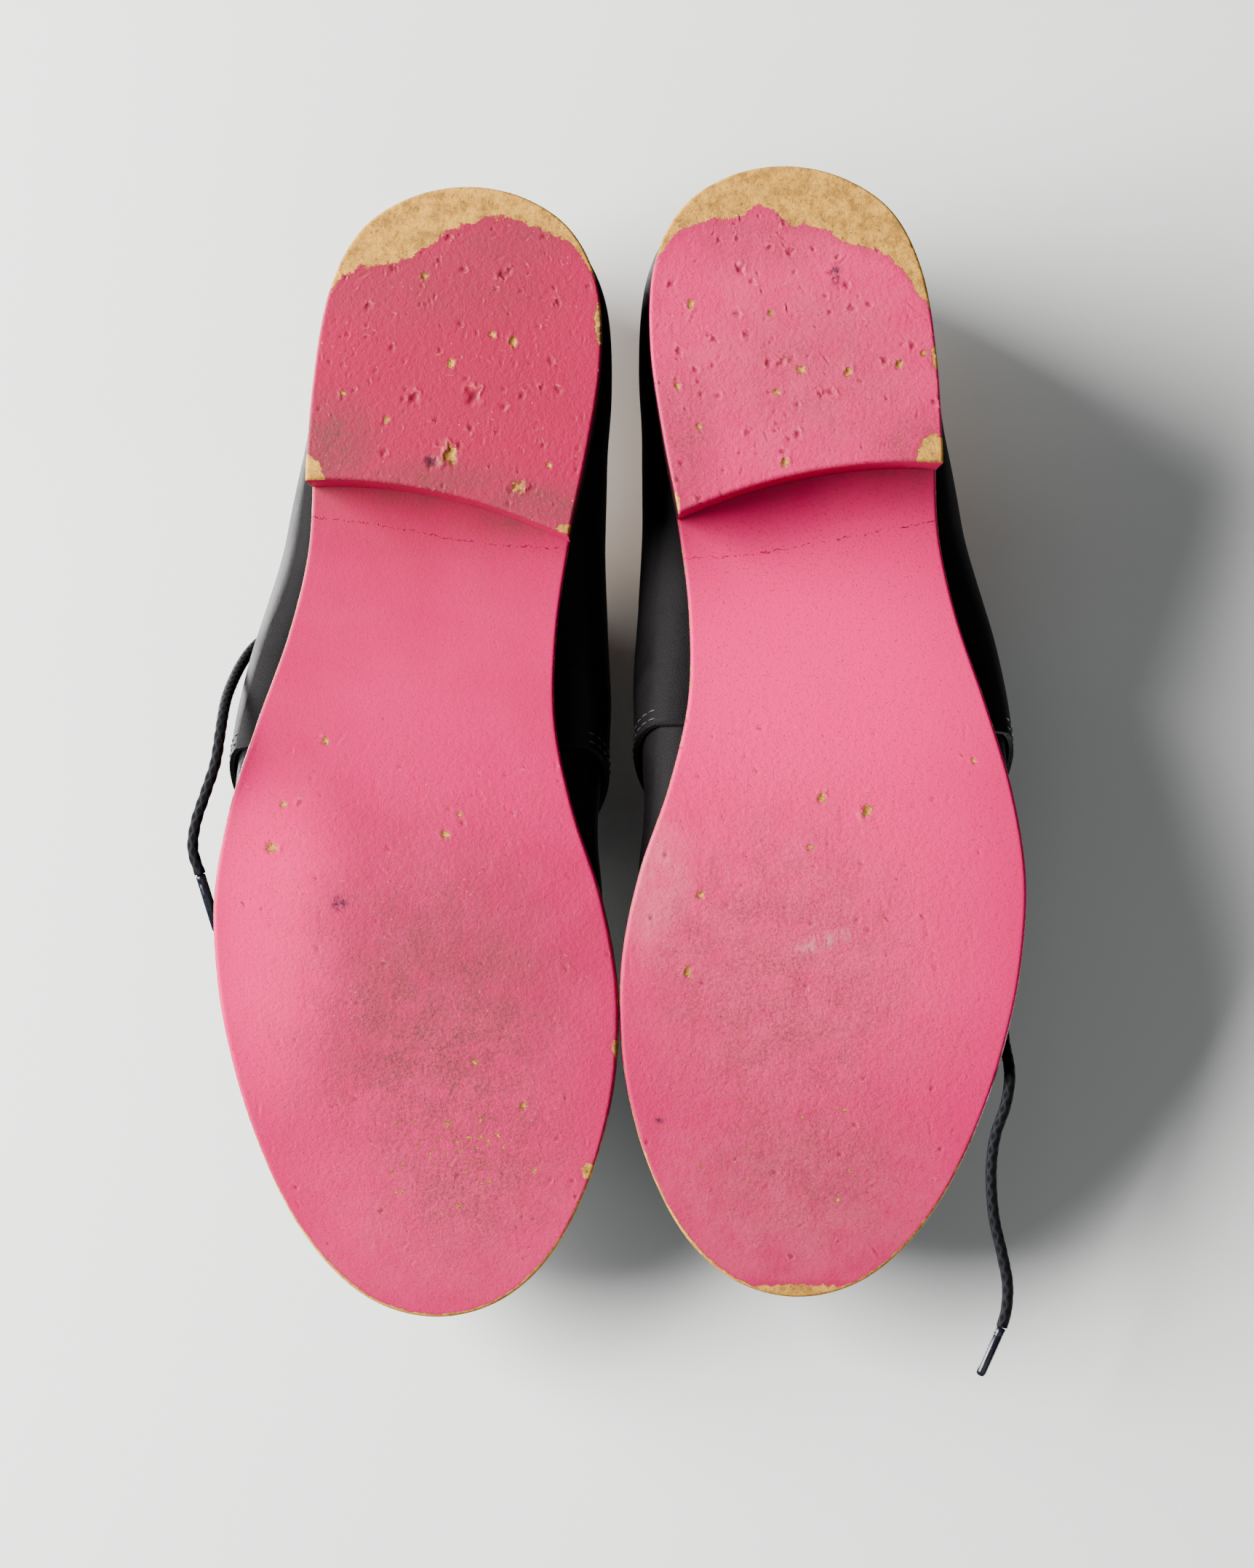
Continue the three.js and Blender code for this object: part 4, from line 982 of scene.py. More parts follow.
def scatter(zone, count, rng):
    """Small random scars: x, y and size, inside a zone given as x and y ranges."""
    (x0, x1), (y0, y1) = zone
    x = rng.uniform(x0, x1, count)
    y = rng.uniform(y0, y1, count)
    size = 0.25 + 0.75 * rng.random(count) ** 2.6
    return list(zip(x, y, size))


class Wear:
    """The fields of one sole's face: a number per point each. depth is how far a point sinks, in mm."""

    def __init__(self, shoe, x, y, heel):
        self.shoe, self.x, self.y = shoe, x, y
        self.heel = heel
        self.rng = np.random.default_rng(SEEDS[shoe] + (100 if heel else 0))
        self.fields = {name: np.full_like(x, NO_WEAR.get(name, 0.0)) for name in (*WEAR_FIELDS, *NO_WEAR)}

    def lay(self, name, where, values):
        self.fields[name][where] = np.maximum(self.fields[name][where], values)

    def scar(self, cx, cy, size, raw, deep):
        """A torn spot: a ragged hollow, and on one side a flake that stands up."""
        reach = 2.6 * size
        near = np.nonzero((np.abs(self.x - cx) < reach) & (np.abs(self.y - cy) < reach))[0]
        if len(near) == 0:
            return
        dx, dy = self.x[near] - cx, self.y[near] - cy
        angle = np.arctan2(dy, dx)
        phase = self.rng.uniform(0, 2 * math.pi, 5)
        ragged = 1 + 0.24 * np.sin(angle + phase[0]) + 0.16 * np.sin(2 * angle + phase[1])
        ragged += 0.14 * np.sin(4 * angle + phase[3]) + 0.12 * np.sin(9 * angle + phase[4])
        d = np.hypot(dx, dy) / (size * ragged)
        d += 0.22 * np.sin(4.1 * dx / size + phase[3]) * np.sin(3.7 * dy / size + phase[4])
        hollow = np.clip(1 - d * d, 0, 1) ** 1.5
        lift = np.exp(-((d - 1.12) / 0.2) ** 2) * np.clip(0.5 + 0.75 * np.cos(angle - phase[2]), 0, 1)
        self.fields["depth"][near] += deep * hollow - 0.55 * deep * lift
        self.lay("pit_shade", near, hollow)
        self.lay("flake", near, lift)
        if raw:
            self.lay("core", near, np.clip(1.25 - d, 0, 1))

    def nick(self, cx, cy, length, lean, deep):
        """A short scratch: a narrow groove with one raised lip."""
        near = np.nonzero((np.abs(self.x - cx) < length) & (np.abs(self.y - cy) < length))[0]
        if len(near) == 0:
            return
        dx, dy = self.x[near] - cx, self.y[near] - cy
        along = dx * math.cos(lean) + dy * math.sin(lean)
        away = dy * math.cos(lean) - dx * math.sin(lean) + 0.05 * length * np.sin(5 * along / length)
        fade = np.clip(1 - (2 * along / length) ** 2, 0, 1)
        groove = fade * np.exp(-(away / 0.24) ** 2)
        lip = fade * np.exp(-((away - 0.46) / 0.26) ** 2)
        self.fields["depth"][near] += deep * (groove - 0.7 * lip)
        self.lay("pit_shade", near, 0.5 * groove)
        self.lay("flake", near, 0.8 * lip)

    def nicks(self, zone, count, longest):
        (x0, x1), (y0, y1) = zone
        for _ in range(count):
            spot = self.rng.uniform(x0, x1), self.rng.uniform(y0, y1)
            length = 1.4 + (longest - 1.4) * self.rng.random() ** 3
            self.nick(*spot, length, self.rng.uniform(0, math.pi), self.rng.uniform(0.1, 0.24))

    def films(self):
        for name, patches in FILMS[self.shoe].items():
            for cx, cy, rx, ry, strength in patches:
                self.lay(name, ALL, strength * bell(self.x, self.y, cx, cy, rx, ry, 3))

    def bare_patches(self):
        for cx, cy, rx, ry in BARE_PATCHES[self.shoe]:
            if (cy > BREAST_LINE) != self.heel:
                continue
            d = np.hypot((self.x - cx) / rx, (self.y - cy) / ry)
            self.lay("bare", ALL, (1 - d) * min(rx, ry) * 1.4)

    def dirt(self):
        for cx, cy, rx, ry, strength in DIRT_CLOUDS[self.shoe]:
            self.lay("dirt", ALL, strength * bell(self.x, self.y, cx, cy, rx, ry, 3))

    def spots(self):
        for cx, cy, size in RAW_SCARS[self.shoe]:
            self.scar(cx, cy, 0.66 * size, True, 0.2 + 0.13 * size)
        for cx, cy, size in FLAKES[self.shoe]:
            self.scar(cx, cy, 0.6 * size, False, 0.12 + 0.1 * size)
        for cx, cy, rx, ry in STAINS[self.shoe]:
            self.lay("stain", ALL, bell(self.x, self.y, cx, cy, rx, ry, 4))


def heel_wear(shoe, x, y):
    wear = Wear(shoe, x, y, True)
    border = through(sorted(BARE_HEEL[shoe]))(np.clip(x, -44, 36))
    wear.fields["bare"] = (y - border) * 0.8
    wear.bare_patches()
    wear.dirt()
    wear.films()
    wear.fields["worn"] = np.full_like(x, 0.75)
    wear.spots()
    wear.nicks(((-42, 38), (58, 138)), 100, 5)
    for cx, cy, size in scatter(((-42, 38), (60, 140)), 190, wear.rng):
        wear.scar(cx, cy, 1.25 * size, size > 0.975, 0.1 + 0.2 * size)
    for cx, cy, size in scatter(((-30, 24), (136, 151)), 26, wear.rng):
        wear.scar(cx, cy, 0.5 * size, False, 0.05)
    return wear.fields


def sole_wear(shoe, x, y):
    wear = Wear(shoe, x, y, False)
    rim = outline_distance(x, y)
    front = np.clip((-y - 20) / 60, 0, 1)
    toe = np.clip((-y - 95) / 45, 0, 1)
    wear.fields["bare"] = (0.05 * front + 0.8 * toe - rim) * 3
    wear.bare_patches()
    wear.dirt()
    tread = bell(x, y, 0, -68, 52, 76, 6)
    wear.films()
    wear.fields["worn"] = 0.75 * tread
    wear.spots()
    wear.nicks(((-46, 54), (-140, 6)), 110, 6)
    for cx, cy, size in scatter(((-40, 50), (-36, 4)), 64, wear.rng):
        wear.scar(cx, cy, 1.1 * size, size > 0.95, 0.08 + 0.18 * size)
    for cx, cy, size in scatter(((-44, 54), (-140, -30)), 130, wear.rng):
        wear.scar(cx, cy, size, size > 0.97, 0.07 + 0.15 * size)
    for cx, cy, size in scatter(((-24, 20), (-124, -96)), 46 if shoe == "left" else 12, wear.rng):
        wear.scar(cx, cy, 0.5 * size + 0.2, True, 0.06)
    for cx, cy, size in scatter(((-30, 38), (0, 56)), 9, wear.rng):
        wear.scar(cx, cy, 0.4 * size, False, 0.04)
    for cx, cy, rx, ry, lean in SMEARS[shoe]:
        u = (x - cx) + lean * (y - cy)
        v = (y - cy) - lean * (x - cx)
        wear.lay("smear", ALL, bell(u, v, 0, 0, rx, ry, 4))
    near = (x > -34) & (x < 38)
    wear.fields["crack"] = np.where(near, y - through(sorted(CRACKS[shoe]))(x), NO_WEAR["crack"])
    return wear.fields


def rounded_rim(distance, radius):
    """How far a surface lifts near its rim, to turn smoothly into the wall."""
    inside = np.clip(1 - distance / radius, 0, 1)
    return radius * (1 - np.sqrt(np.clip(1 - inside ** 2, 0, 1)))


# ---- sole and heel ----

def over_block(fields, shape, per_ring, count):
    """The face's fields for all the points of a block. Each of its rings starts with a row of the face."""
    full = {}
    for key in (*NO_WEAR, *(name for name in WEAR_FIELDS if name != "depth")):
        filler = NO_WEAR.get(key, 0.0)
        full[key] = np.full(count, filler)
        if key in fields:
            rings = np.full((shape[0], per_ring), filler)
            rings[:, :shape[1]] = fields[key].reshape(shape)
            full[key][:rings.size] = rings.ravel()
    return full


def outsole(shoe):
    """The whole sole as rings across it: the painted face, the walls and the upper face."""
    stations, across, wall, over = 620, 170, 6, 12
    station = np.linspace(0, 1, stations + 1)
    lateral, medial = edge_point(1, station), edge_point(-1, station)
    u = np.linspace(0, 1, across + 1)
    # Columns crowd a little at the edges, where the rim turns over.
    turn = 2 * math.pi
    u = u - 0.06 * np.sin(2 * turn * u) / (2 * turn) - 0.12 * np.sin(turn * u) / turn
    face = lateral[:, None] + (medial - lateral)[:, None] * u[None, :, None]
    x, y = face[..., 0], face[..., 1]
    fields = sole_wear(shoe, x.ravel(), y.ravel())
    rim = outline_distance(x.ravel(), y.ravel())
    ground = ground_at(share_of(y))
    low = ground + rounded_rim(rim, 0.9).reshape(x.shape) + fields["depth"].reshape(x.shape)
    bottom = np.stack([x, y, low], -1)
    ground_line = ground_at(share_at(station))
    lifts = np.linspace(1.1, SOLE_THICKNESS, wall)
    swell = 0.18 * np.sin(np.linspace(0, math.pi, wall))

    def side_wall(edge, normal):
        rows = []
        for lift, out in zip(lifts, swell):
            spot = edge + normal * (out - 0.05)
            rows.append(np.column_stack([spot, ground_line + lift]))
        return np.stack(rows, 1)

    lateral_wall = side_wall(lateral, edge_normal(1, station))
    medial_wall = side_wall(medial, edge_normal(-1, station))
    v = np.linspace(0, 1, over + 2)[1:-1]
    top_face = medial[:, None] + (lateral - medial)[:, None] * v[None, :, None]
    top_height = sole_top_at(share_of(top_face[..., 1]))
    top = np.concatenate([top_face, top_height[..., None]], -1)
    rings = np.concatenate([bottom, medial_wall, top, lateral_wall[:, ::-1]], 1)
    per_ring = rings.shape[1]
    faces = loft(stations + 1, per_ring)
    kinds = np.ones((stations, per_ring), np.int32)
    kinds[:, :across] = 0
    points = rings.reshape(-1, 3)
    full = over_block(fields, x.shape, per_ring, len(points))
    obj = new_object(f"{shoe}_sole_painted", shoe, points, faces, ["paint", "edge"], kinds.ravel(), full)
    hard_edges(obj, 55)
    settle(obj, shoe, "outsole")


BREAST_STATION = {
    1: station_at(BREAST_LATERAL / SOLE_LENGTH),
    -1: station_at(BREAST_MEDIAL / SOLE_LENGTH),
}


def heel_face(rows, across):
    """Points of the heel's flat shape, from the back to the breast and from lateral to medial."""
    v = np.linspace(0, 1, rows + 1)
    lateral = edge_point(1, BREAST_STATION[1] * v)
    medial = edge_point(-1, BREAST_STATION[-1] * v)
    u = np.linspace(0, 1, across + 1)
    face = lateral[:, None] + (medial - lateral)[:, None] * u[None, :, None]
    w = 2 * u - 1
    face[..., 1] += (BREAST_HOLLOW * (1 - w ** 2))[None, :] * (v ** 4)[:, None]
    return face


def heel_rim_distance(x, y):
    breast = [tuple(p) for p in heel_face(60, 24)[-1]]
    return np.minimum(outline_distance(x, y), segment_distance(x, y, breast))


def heel_block(shoe, name, node, low, high, grooves, worn):
    """One or more lifts as rings from the back of the heel to the breast, which the last ring closes."""
    rows, across = 230, 200
    walls = 2 + 8 * (len(grooves) + 1)
    face = heel_face(rows, across)
    x, y = face[..., 0], face[..., 1]
    flat_x, flat_y = x.ravel(), y.ravel()
    rim = heel_rim_distance(flat_x, flat_y)
    fields = heel_wear(shoe, flat_x, flat_y) if worn else {}
    sink = fields.get("depth", np.zeros_like(flat_x)).reshape(x.shape)
    bottom = np.stack([x, y, low + rounded_rim(rim, 0.7).reshape(x.shape) + sink], -1)
    top = np.stack([x, y, np.full_like(x, high)], -1)
    levels = np.linspace(low + 0.8, high, walls)
    inset = np.zeros(walls)
    for groove in grooves:
        inset += 0.32 * np.exp(-((levels - groove) / 0.28) ** 2)
    v = np.linspace(0, 1, rows + 1)

    def side_wall(side):
        edge = edge_point(side, BREAST_STATION[side] * v)
        normal = edge_normal(side, BREAST_STATION[side] * v)
        return np.stack([
            np.column_stack([edge - normal * i, np.full(len(v), z)]) for i, z in zip(inset, levels)
        ], 1)

    lateral_wall = side_wall(1)[:, :-1]
    medial_wall = side_wall(-1)[:, :-1]
    rings = np.concatenate([bottom, medial_wall, top[:, ::-1], lateral_wall[:, ::-1]], 1)
    per_ring = rings.shape[1]
    faces = loft(rows + 1, per_ring)
    kinds = np.ones((rows, per_ring), np.int32)
    kinds[:, :across] = 0
    # The breast: columns between the last ring's lower and upper rows.
    points = rings.reshape(-1, 3)
    start = rows * per_ring
    bottom_row = start + np.arange(across + 1)
    top_row = start + across + walls + np.arange(across + 1)[::-1]
    inner = []
    for level in levels[:-1]:
        inner.append(len(points) + np.arange(across - 1))
        row = face[-1, 1:-1]
        points = np.vstack([points, np.column_stack([row, np.full(across - 1, level)])])
    lateral_rows = (start + per_ring - 1) - np.arange(walls - 1)
    medial_rows = start + across + 1 + np.arange(walls - 1)
    grid = [bottom_row]
    for k, row in enumerate(inner):
        grid.append(np.concatenate([[lateral_rows[k]], row, [medial_rows[k]]]))
    grid.append(top_row)
    grid = np.array(grid)
    breast = np.stack([grid[:-1, :-1], grid[1:, :-1], grid[1:, 1:], grid[:-1, 1:]], -1).reshape(-1, 4)
    faces = np.vstack([faces, breast[:, ::-1]])
    kinds = np.concatenate([kinds.ravel(), np.zeros(len(breast), np.int32)])
    full = over_block(fields, x.shape, per_ring, len(points))
    obj = new_object(f"{shoe}_{name}", shoe, points, faces, ["paint", "edge"], kinds, full)
    hard_edges(tidy(obj), 50)
    settle(obj, shoe, node)


def heel(shoe):
    heel_block(shoe, "top_lift_worn", "heel_top_lift", 0.0, TOP_LIFT_THICKNESS, [], True)
    low, high = TOP_LIFT_THICKNESS + GAP, HEEL_HEIGHT - GAP
    layers = [low + (high - low) * k / 3 for k in (1, 2)]
    heel_block(shoe, "heel_lifts", "heel_stack", low, high, layers, False)


for shoe in SHOES:
    outsole(shoe)
    heel(shoe)


# ---- upper ----

UPPER_THICKNESS = 1.4
LINING_THICKNESS = 0.8
FILLER_THICKNESS = 1.7
INSOLE_THICKNESS = 2.0
SOCK_THICKNESS = 1.0
TONGUE_THICKNESS = 1.4
TONGUE_FRONT = 0.605
TONGUE_BACK = 0.345
TONGUE_FRONT_REACH = 17.0
TONGUE_BACK_REACH = 23.0
STAY_THICKNESS = 1.2
PUFF_THICKNESS = 1.0
LAP_GAP = 0.95
QUARTER_INNER = 0.3
LAP = 0.028
VAMP_LOW = 0.465
VAMP_HIGH = 0.575
VAMP_BACK_CURVE = 1.4
VAMP_LINING_REACH = 11 / 13
QUARTER_LINING_SHORT = 0.006
QUARTER_LINING_LOW = 0.01
STAY_REACH = 0.034
VAMP_LEVEL = (QUARTER_INNER - LAP_GAP - UPPER_THICKNESS, QUARTER_INNER - LAP_GAP)
LINING_LEVEL = (VAMP_LEVEL[0] - LAP_GAP - LINING_THICKNESS, VAMP_LEVEL[0] - LAP_GAP)
PUFF_LEVEL = (VAMP_LEVEL[0] - GAP - PUFF_THICKNESS, VAMP_LEVEL[0] - GAP)
VAMP_LINING_LEVEL = (PUFF_LEVEL[0] - LAP_GAP - LINING_THICKNESS, PUFF_LEVEL[0] - LAP_GAP)
QUARTER_LEVEL = (QUARTER_INNER, QUARTER_INNER + UPPER_THICKNESS)
STAY_LEVEL = (QUARTER_LEVEL[1] + LAP_GAP, QUARTER_LEVEL[1] + LAP_GAP + STAY_THICKNESS)
LACE_BEND_ROOM = 0.6
LACE_UNDER = LINING_LEVEL[0] - GAP - LACE_DIAMETER / 2 - LACE_BEND_ROOM
TONGUE_LEVEL = (
    LACE_UNDER - LACE_DIAMETER / 2 - GAP - TONGUE_THICKNESS, LACE_UNDER - LACE_DIAMETER / 2 - GAP,
)
FLANGE_LEVEL = QUARTER_LEVEL[1] + GAP
LACE_OVER = FLANGE_LEVEL + EYELET_RIM + GAP + LACE_DIAMETER / 2
SEAM = 0.008
SIDE_NAMES = {1: "lateral", -1: "medial"}


def mix(a, b, t):
    return a + (b - a) * t


def spread(t):
    return np.where(t < 0.5, 1.0, -1.0), np.abs(2 * t - 1)


def vamp_back(t):
    run = np.minimum(1, VAMP_BACK_CURVE * np.asarray(t, float))
    return mix(VAMP_LOW, VAMP_HIGH, np.sin(run * math.pi / 2))


def quarter_front(t):
    return vamp_back(t) + LAP


ROUND_EDGE = {"leather": 0.35, "tan": 0.2}


def leather_sheet(shoe, node, columns, rows, levels, place, kind, closed_top=False, holes=(), body="shoe"):
    """A sheet of leather on the last. place(s, t, offset) gives its points, s across and t upward.
    With closed_top the two halves meet along the ridge, so their upper rows have no edge of their own.
    holes names the sides that eyelets go through."""
    s, t = np.meshgrid(np.linspace(0, 1, columns + 1), np.linspace(0, 1, rows + 1), indexing="ij")
    s, t = s.ravel(), t.ravel()
    outer = place(s, t, np.full(len(s), levels[1]))
    inner = place(s, t, np.full(len(s), levels[0]))
    count = len(s)
    i, j = np.meshgrid(np.arange(columns), np.arange(rows), indexing="ij")
    a = (i * (rows + 1) + j).ravel()
    b = a + rows + 1
    out_faces = np.stack([a, b, b + 1, a + 1], -1)
    in_faces = np.stack([a, a + 1, b + 1, b], -1) + count
    i = np.arange(columns) * (rows + 1)
    low = np.stack([i, i + count, i + rows + 1 + count, i + rows + 1], -1)
    k = i + rows
    high = np.stack([k, k + rows + 1, k + rows + 1 + count, k + count], -1)
    j = np.arange(rows)
    first = np.stack([j, j + 1, j + 1 + count, j + count], -1)
    m = columns * (rows + 1) + j
    final = np.stack([m, m + count, m + 1 + count, m + 1], -1)
    edges = [low, first, final] if closed_top else [low, high, first, final]
    faces = np.vstack([out_faces, in_faces, *edges])
    name = f"{shoe}_{node}_leather"
    obj = tidy(new_object(name, shoe, np.vstack([outer, inner]), faces, [kind]))
    hard_edges(obj, 50)
    rounded(obj, ROUND_EDGE[kind])
    if holes:
        cut_holes(obj, shoe, holes)
    settle(obj, shoe, node, body)


# Where the vamp folds in walking, as a share of the sole's length, and how deep and how wide.
CREASES = [(0.602, 0.5, 0.0042), (0.633, 0.6, 0.005), (0.668, 0.4, 0.0045)]


def creases(side, station, height):
    """How far the vamp dips at the folds that walking leaves across the ball of the foot."""
    share = share_at(station)
    dip = np.zeros_like(share)
    for k, (centre, depth, width) in enumerate(CREASES):
        bend = centre + 0.012 * (1 - height) ** 2 * side + 0.004 * np.sin(9 * height + 2.1 * k)
        dip += depth * np.exp(-((share - bend) / width) ** 2)
        dip -= 0.45 * depth * np.exp(-((share - bend - 0.011) / (1.4 * width)) ** 2)
    return dip * np.clip((height - 0.12) / 0.3, 0, 1) * np.clip((1.25 - height) / 0.5, 0, 1)


def vamp(shoe):
    def place(s, t, offset):
        side, from_toe = spread(s)
        station = mix(1.0, station_at(vamp_back(t)), from_toe)
        fold = creases(side, station, t) * np.clip(from_toe * 8, 0, 1)
        return on_last(side, station, t, offset - fold)
    leather_sheet(shoe, "vamp", 260, 44, VAMP_LEVEL, place, "leather", closed_top=True)


def vamp_lining(shoe):
    def place(s, t, offset):
        side, from_toe = spread(s)
        station = mix(1.0, station_at(vamp_back(t)), from_toe * VAMP_LINING_REACH)
        return on_last(side, station, t, offset)
    leather_sheet(shoe, "vamp_lining", 90, 20, VAMP_LINING_LEVEL, place, "tan", closed_top=True)


def eyelet_station(number):
    return station_at(EYELET_FIRST - number * EYELET_STEP / SOLE_LENGTH)


def eyelet_seat(side, number):
    station = eyelet_station(number)
    height = height_for_reach(side, station, FACING_GAP + EYELET_EDGE)
    centre = last_skin(side, station, height)
    out = last_normal(side, station, height)
    following = last_skin(side, station - 0.01, height) - centre
    up = unit(following - out * np.dot(following, out))
    inward = unit(np.cross(up, out) * -side)
    return centre, out, up, inward


def eyelet_cutter(shoe, sides):
    """The holes for the eyelets, joined as one hidden tool. It is removed once the holes are cut."""
    tools = []
    radius = EYELET_BORE + EYELET_WALL + 0.1
    for side in sides:
        for number in range(EYELET_PAIRS):
            centre, out, _, _ = eyelet_seat(side, number)
            profile = [(0, -9), (radius, -9), (radius, 7), (0, 7)]
            tools.append(turned_piece("tool", shoe, centre, out, profile, 20, "enamel"))
    bpy.ops.object.select_all(action="DESELECT")
    for tool in tools:
        tool.select_set(True)
    bpy.context.view_layer.objects.active = tools[0]
    bpy.ops.object.join()
    return tools[0]


def cut_holes(obj, shoe, sides):
    cutter = eyelet_cutter(shoe, sides)
    modifier = obj.modifiers.new("holes", "BOOLEAN")
    modifier.object = cutter
    modifier.operation = "DIFFERENCE"
    modifier.solver = "EXACT"
    depsgraph = bpy.context.evaluated_depsgraph_get()
    mesh = bpy.data.meshes.new_from_object(obj.evaluated_get(depsgraph))
    obj.modifiers.clear()
    obj.data = mesh
    bpy.data.objects.remove(cutter)


def quarter(shoe, side):
    def place(s, t, offset):
        station = np.maximum(SEAM, station_at(quarter_front(t)) * s)
        return on_last(side, station, quarter_top(side, station) * t, offset)
    node = f"quarter_{SIDE_NAMES[side]}"
    leather_sheet(shoe, node, 120, 48, QUARTER_LEVEL, place, "leather", holes=[side])


def quarter_lining(shoe):
    def place(s, t, offset):
        side, from_heel = spread(s)
        station = station_at(vamp_back(t) - QUARTER_LINING_SHORT) * from_heel
        return on_last(side, station, (quarter_top(side, station) - QUARTER_LINING_LOW) * t, offset)
    leather_sheet(shoe, "quarter_lining", 160, 36, LINING_LEVEL, place, "tan", holes=[1, -1])


def backstay(shoe):
    def place(s, t, offset):
        side, from_heel = spread(s)
        station = STAY_REACH * from_heel
        return on_last(side, station, quarter_top(side, station) * t, offset)
    leather_sheet(shoe, "backstay", 20, 48, STAY_LEVEL, place, "leather")


def tongue(shoe):
    front, back = station_at(TONGUE_FRONT), station_at(TONGUE_BACK)

    def place(s, t, offset):
        side, from_ridge = spread(s)
        station = mix(front, back, t)
        reach = mix(TONGUE_FRONT_REACH, TONGUE_BACK_REACH, t) * from_ridge
        return on_last(side, station, height_for_reach(side, station, reach), offset)
    leather_sheet(shoe, "tongue", 50, 60, TONGUE_LEVEL, place, "leather", body="tongue")


def sock_liner(shoe):
    low = SOLE_THICKNESS + FILLER_THICKNESS + INSOLE_THICKNESS + 3 * GAP
    inset = INSOLE_INSET + GAP
    station = np.linspace(0, 1, 121)
    v = np.linspace(0, 1, 21)
    lateral, medial = inset_point(1, station, inset), inset_point(-1, station, inset)
    face = lateral[:, None] + (medial - lateral)[:, None] * v[None, :, None]
    ground = ground_at(share_of(face[..., 1]))
    lower = np.concatenate([face, (ground + low)[..., None]], -1)
    upper = np.concatenate([face, (ground + low + SOCK_THICKNESS)[..., None]], -1)[:, ::-1]
    rings = np.concatenate([lower, upper], 1)
    faces = loft(len(station), rings.shape[1])
    obj = tidy(new_object(f"{shoe}_sock_leather", shoe, rings.reshape(-1, 3), faces, ["tan"]))
    hard_edges(obj, 40)
    settle(obj, shoe, "sock_liner")


# ---- stitching ----

STITCH_PITCH = 3.3
STITCH_LENGTH = 2.5
THREAD = 0.27
# How far the rows of stitches lie from the facing's edge and the collar's, and their stations on the stay.
FACING_ROWS = (1.8, 4.2)
COLLAR_ROW = 2.2
STAY_ROWS = (0.026, 0.0285)


def stitches(lines):
    """Points and faces of short raised stitches laid end to end along each (points, normals) line."""
    around, along = 6, 5
    angle = np.linspace(0, 2 * math.pi, around, endpoint=False)
    run = np.linspace(-1, 1, along)
    points, faces = [], []
    for line, normal in lines:
        distance = np.concatenate([[0], np.cumsum(np.linalg.norm(np.diff(line, axis=0), axis=1))])
        spots = np.arange(STITCH_PITCH / 2, distance[-1], STITCH_PITCH)
        centre = np.stack([np.interp(spots, distance, line[:, k]) for k in range(3)], -1)
        out = unit(np.stack([np.interp(spots, distance, normal[:, k]) for k in range(3)], -1))
        ahead = np.stack([np.interp(spots + 0.5, distance, line[:, k]) for k in range(3)], -1)
        behind = np.stack([np.interp(spots - 0.5, distance, line[:, k]) for k in range(3)], -1)
        tangent = unit(ahead - behind)
        side = np.cross(tangent, out)
        for c, o, f, d in zip(centre, out, tangent, side):
            base = len(points)
            for r in run:
                width = THREAD * math.sqrt(max(0.04, 1 - r * r * 0.85))
                middle = c + f * (r * STITCH_LENGTH / 2) + o * (0.16 * (1 - r * r) - 0.1)
                for a in angle:
                    points.append(middle + (d * math.cos(a) + o * math.sin(a)) * width)
            for i in range(along - 1):
                for j in range(around):
                    k = (j + 1) % around
                    faces.append((base + i * around + j, base + i * around + k,
                                  base + (i + 1) * around + k, base + (i + 1) * around + j))
    return np.array(points), np.array(faces)


def quarter_row(side, s, t, level):
    """Points and normals on the quarter's face at those shares of its length and height."""
    station = np.maximum(SEAM, station_at(quarter_front(t)) * s)
    height = quarter_top(side, station) * t
    return on_last(side, station, height, level), last_normal(side, station, height)


def below_edge(side, s, distance):
    """The share of height at which the quarter's face is this far below its top edge."""
    t = np.linspace(0.4, 1, 80)
    grid_s, grid_t = np.meshgrid(s, t, indexing="ij")
    lines, _ = quarter_row(side, grid_s, grid_t, QUARTER_LEVEL[1])
    steps = np.linalg.norm(np.diff(lines, axis=1), axis=2)
    left = np.cumsum(steps[:, ::-1], axis=1)[:, ::-1]
    left = np.concatenate([left, np.zeros((len(s), 1))], 1)
    return np.array([np.interp(-distance, -row, t) for row in left])


def stitching(shoe):
    lines = []
    level = QUARTER_LEVEL[1]
    for side in (1, -1):
        t = np.linspace(0.02, 0.96, 80)
        for inset in FACING_ROWS:
            s = station_at(quarter_front(t) - inset / SOLE_LENGTH) / station_at(quarter_front(t))
            lines.append(quarter_row(side, s, t, level))
        s = np.linspace(0.09, 0.985, 90)
        lines.append(quarter_row(side, s, below_edge(side, s, COLLAR_ROW), level))
        t = np.linspace(0.03, 0.97, 40)
        for station in STAY_ROWS:
            height = quarter_top(side, station) * t
            points = on_last(side, station, height, STAY_LEVEL[1])
            lines.append((points, last_normal(side, station, height)))
    points, faces = stitches(lines)
    settle(new_object(f"{shoe}_stitching", shoe, points, faces, ["thread"]), shoe, None)


# ---- eyelets and the laced part ----

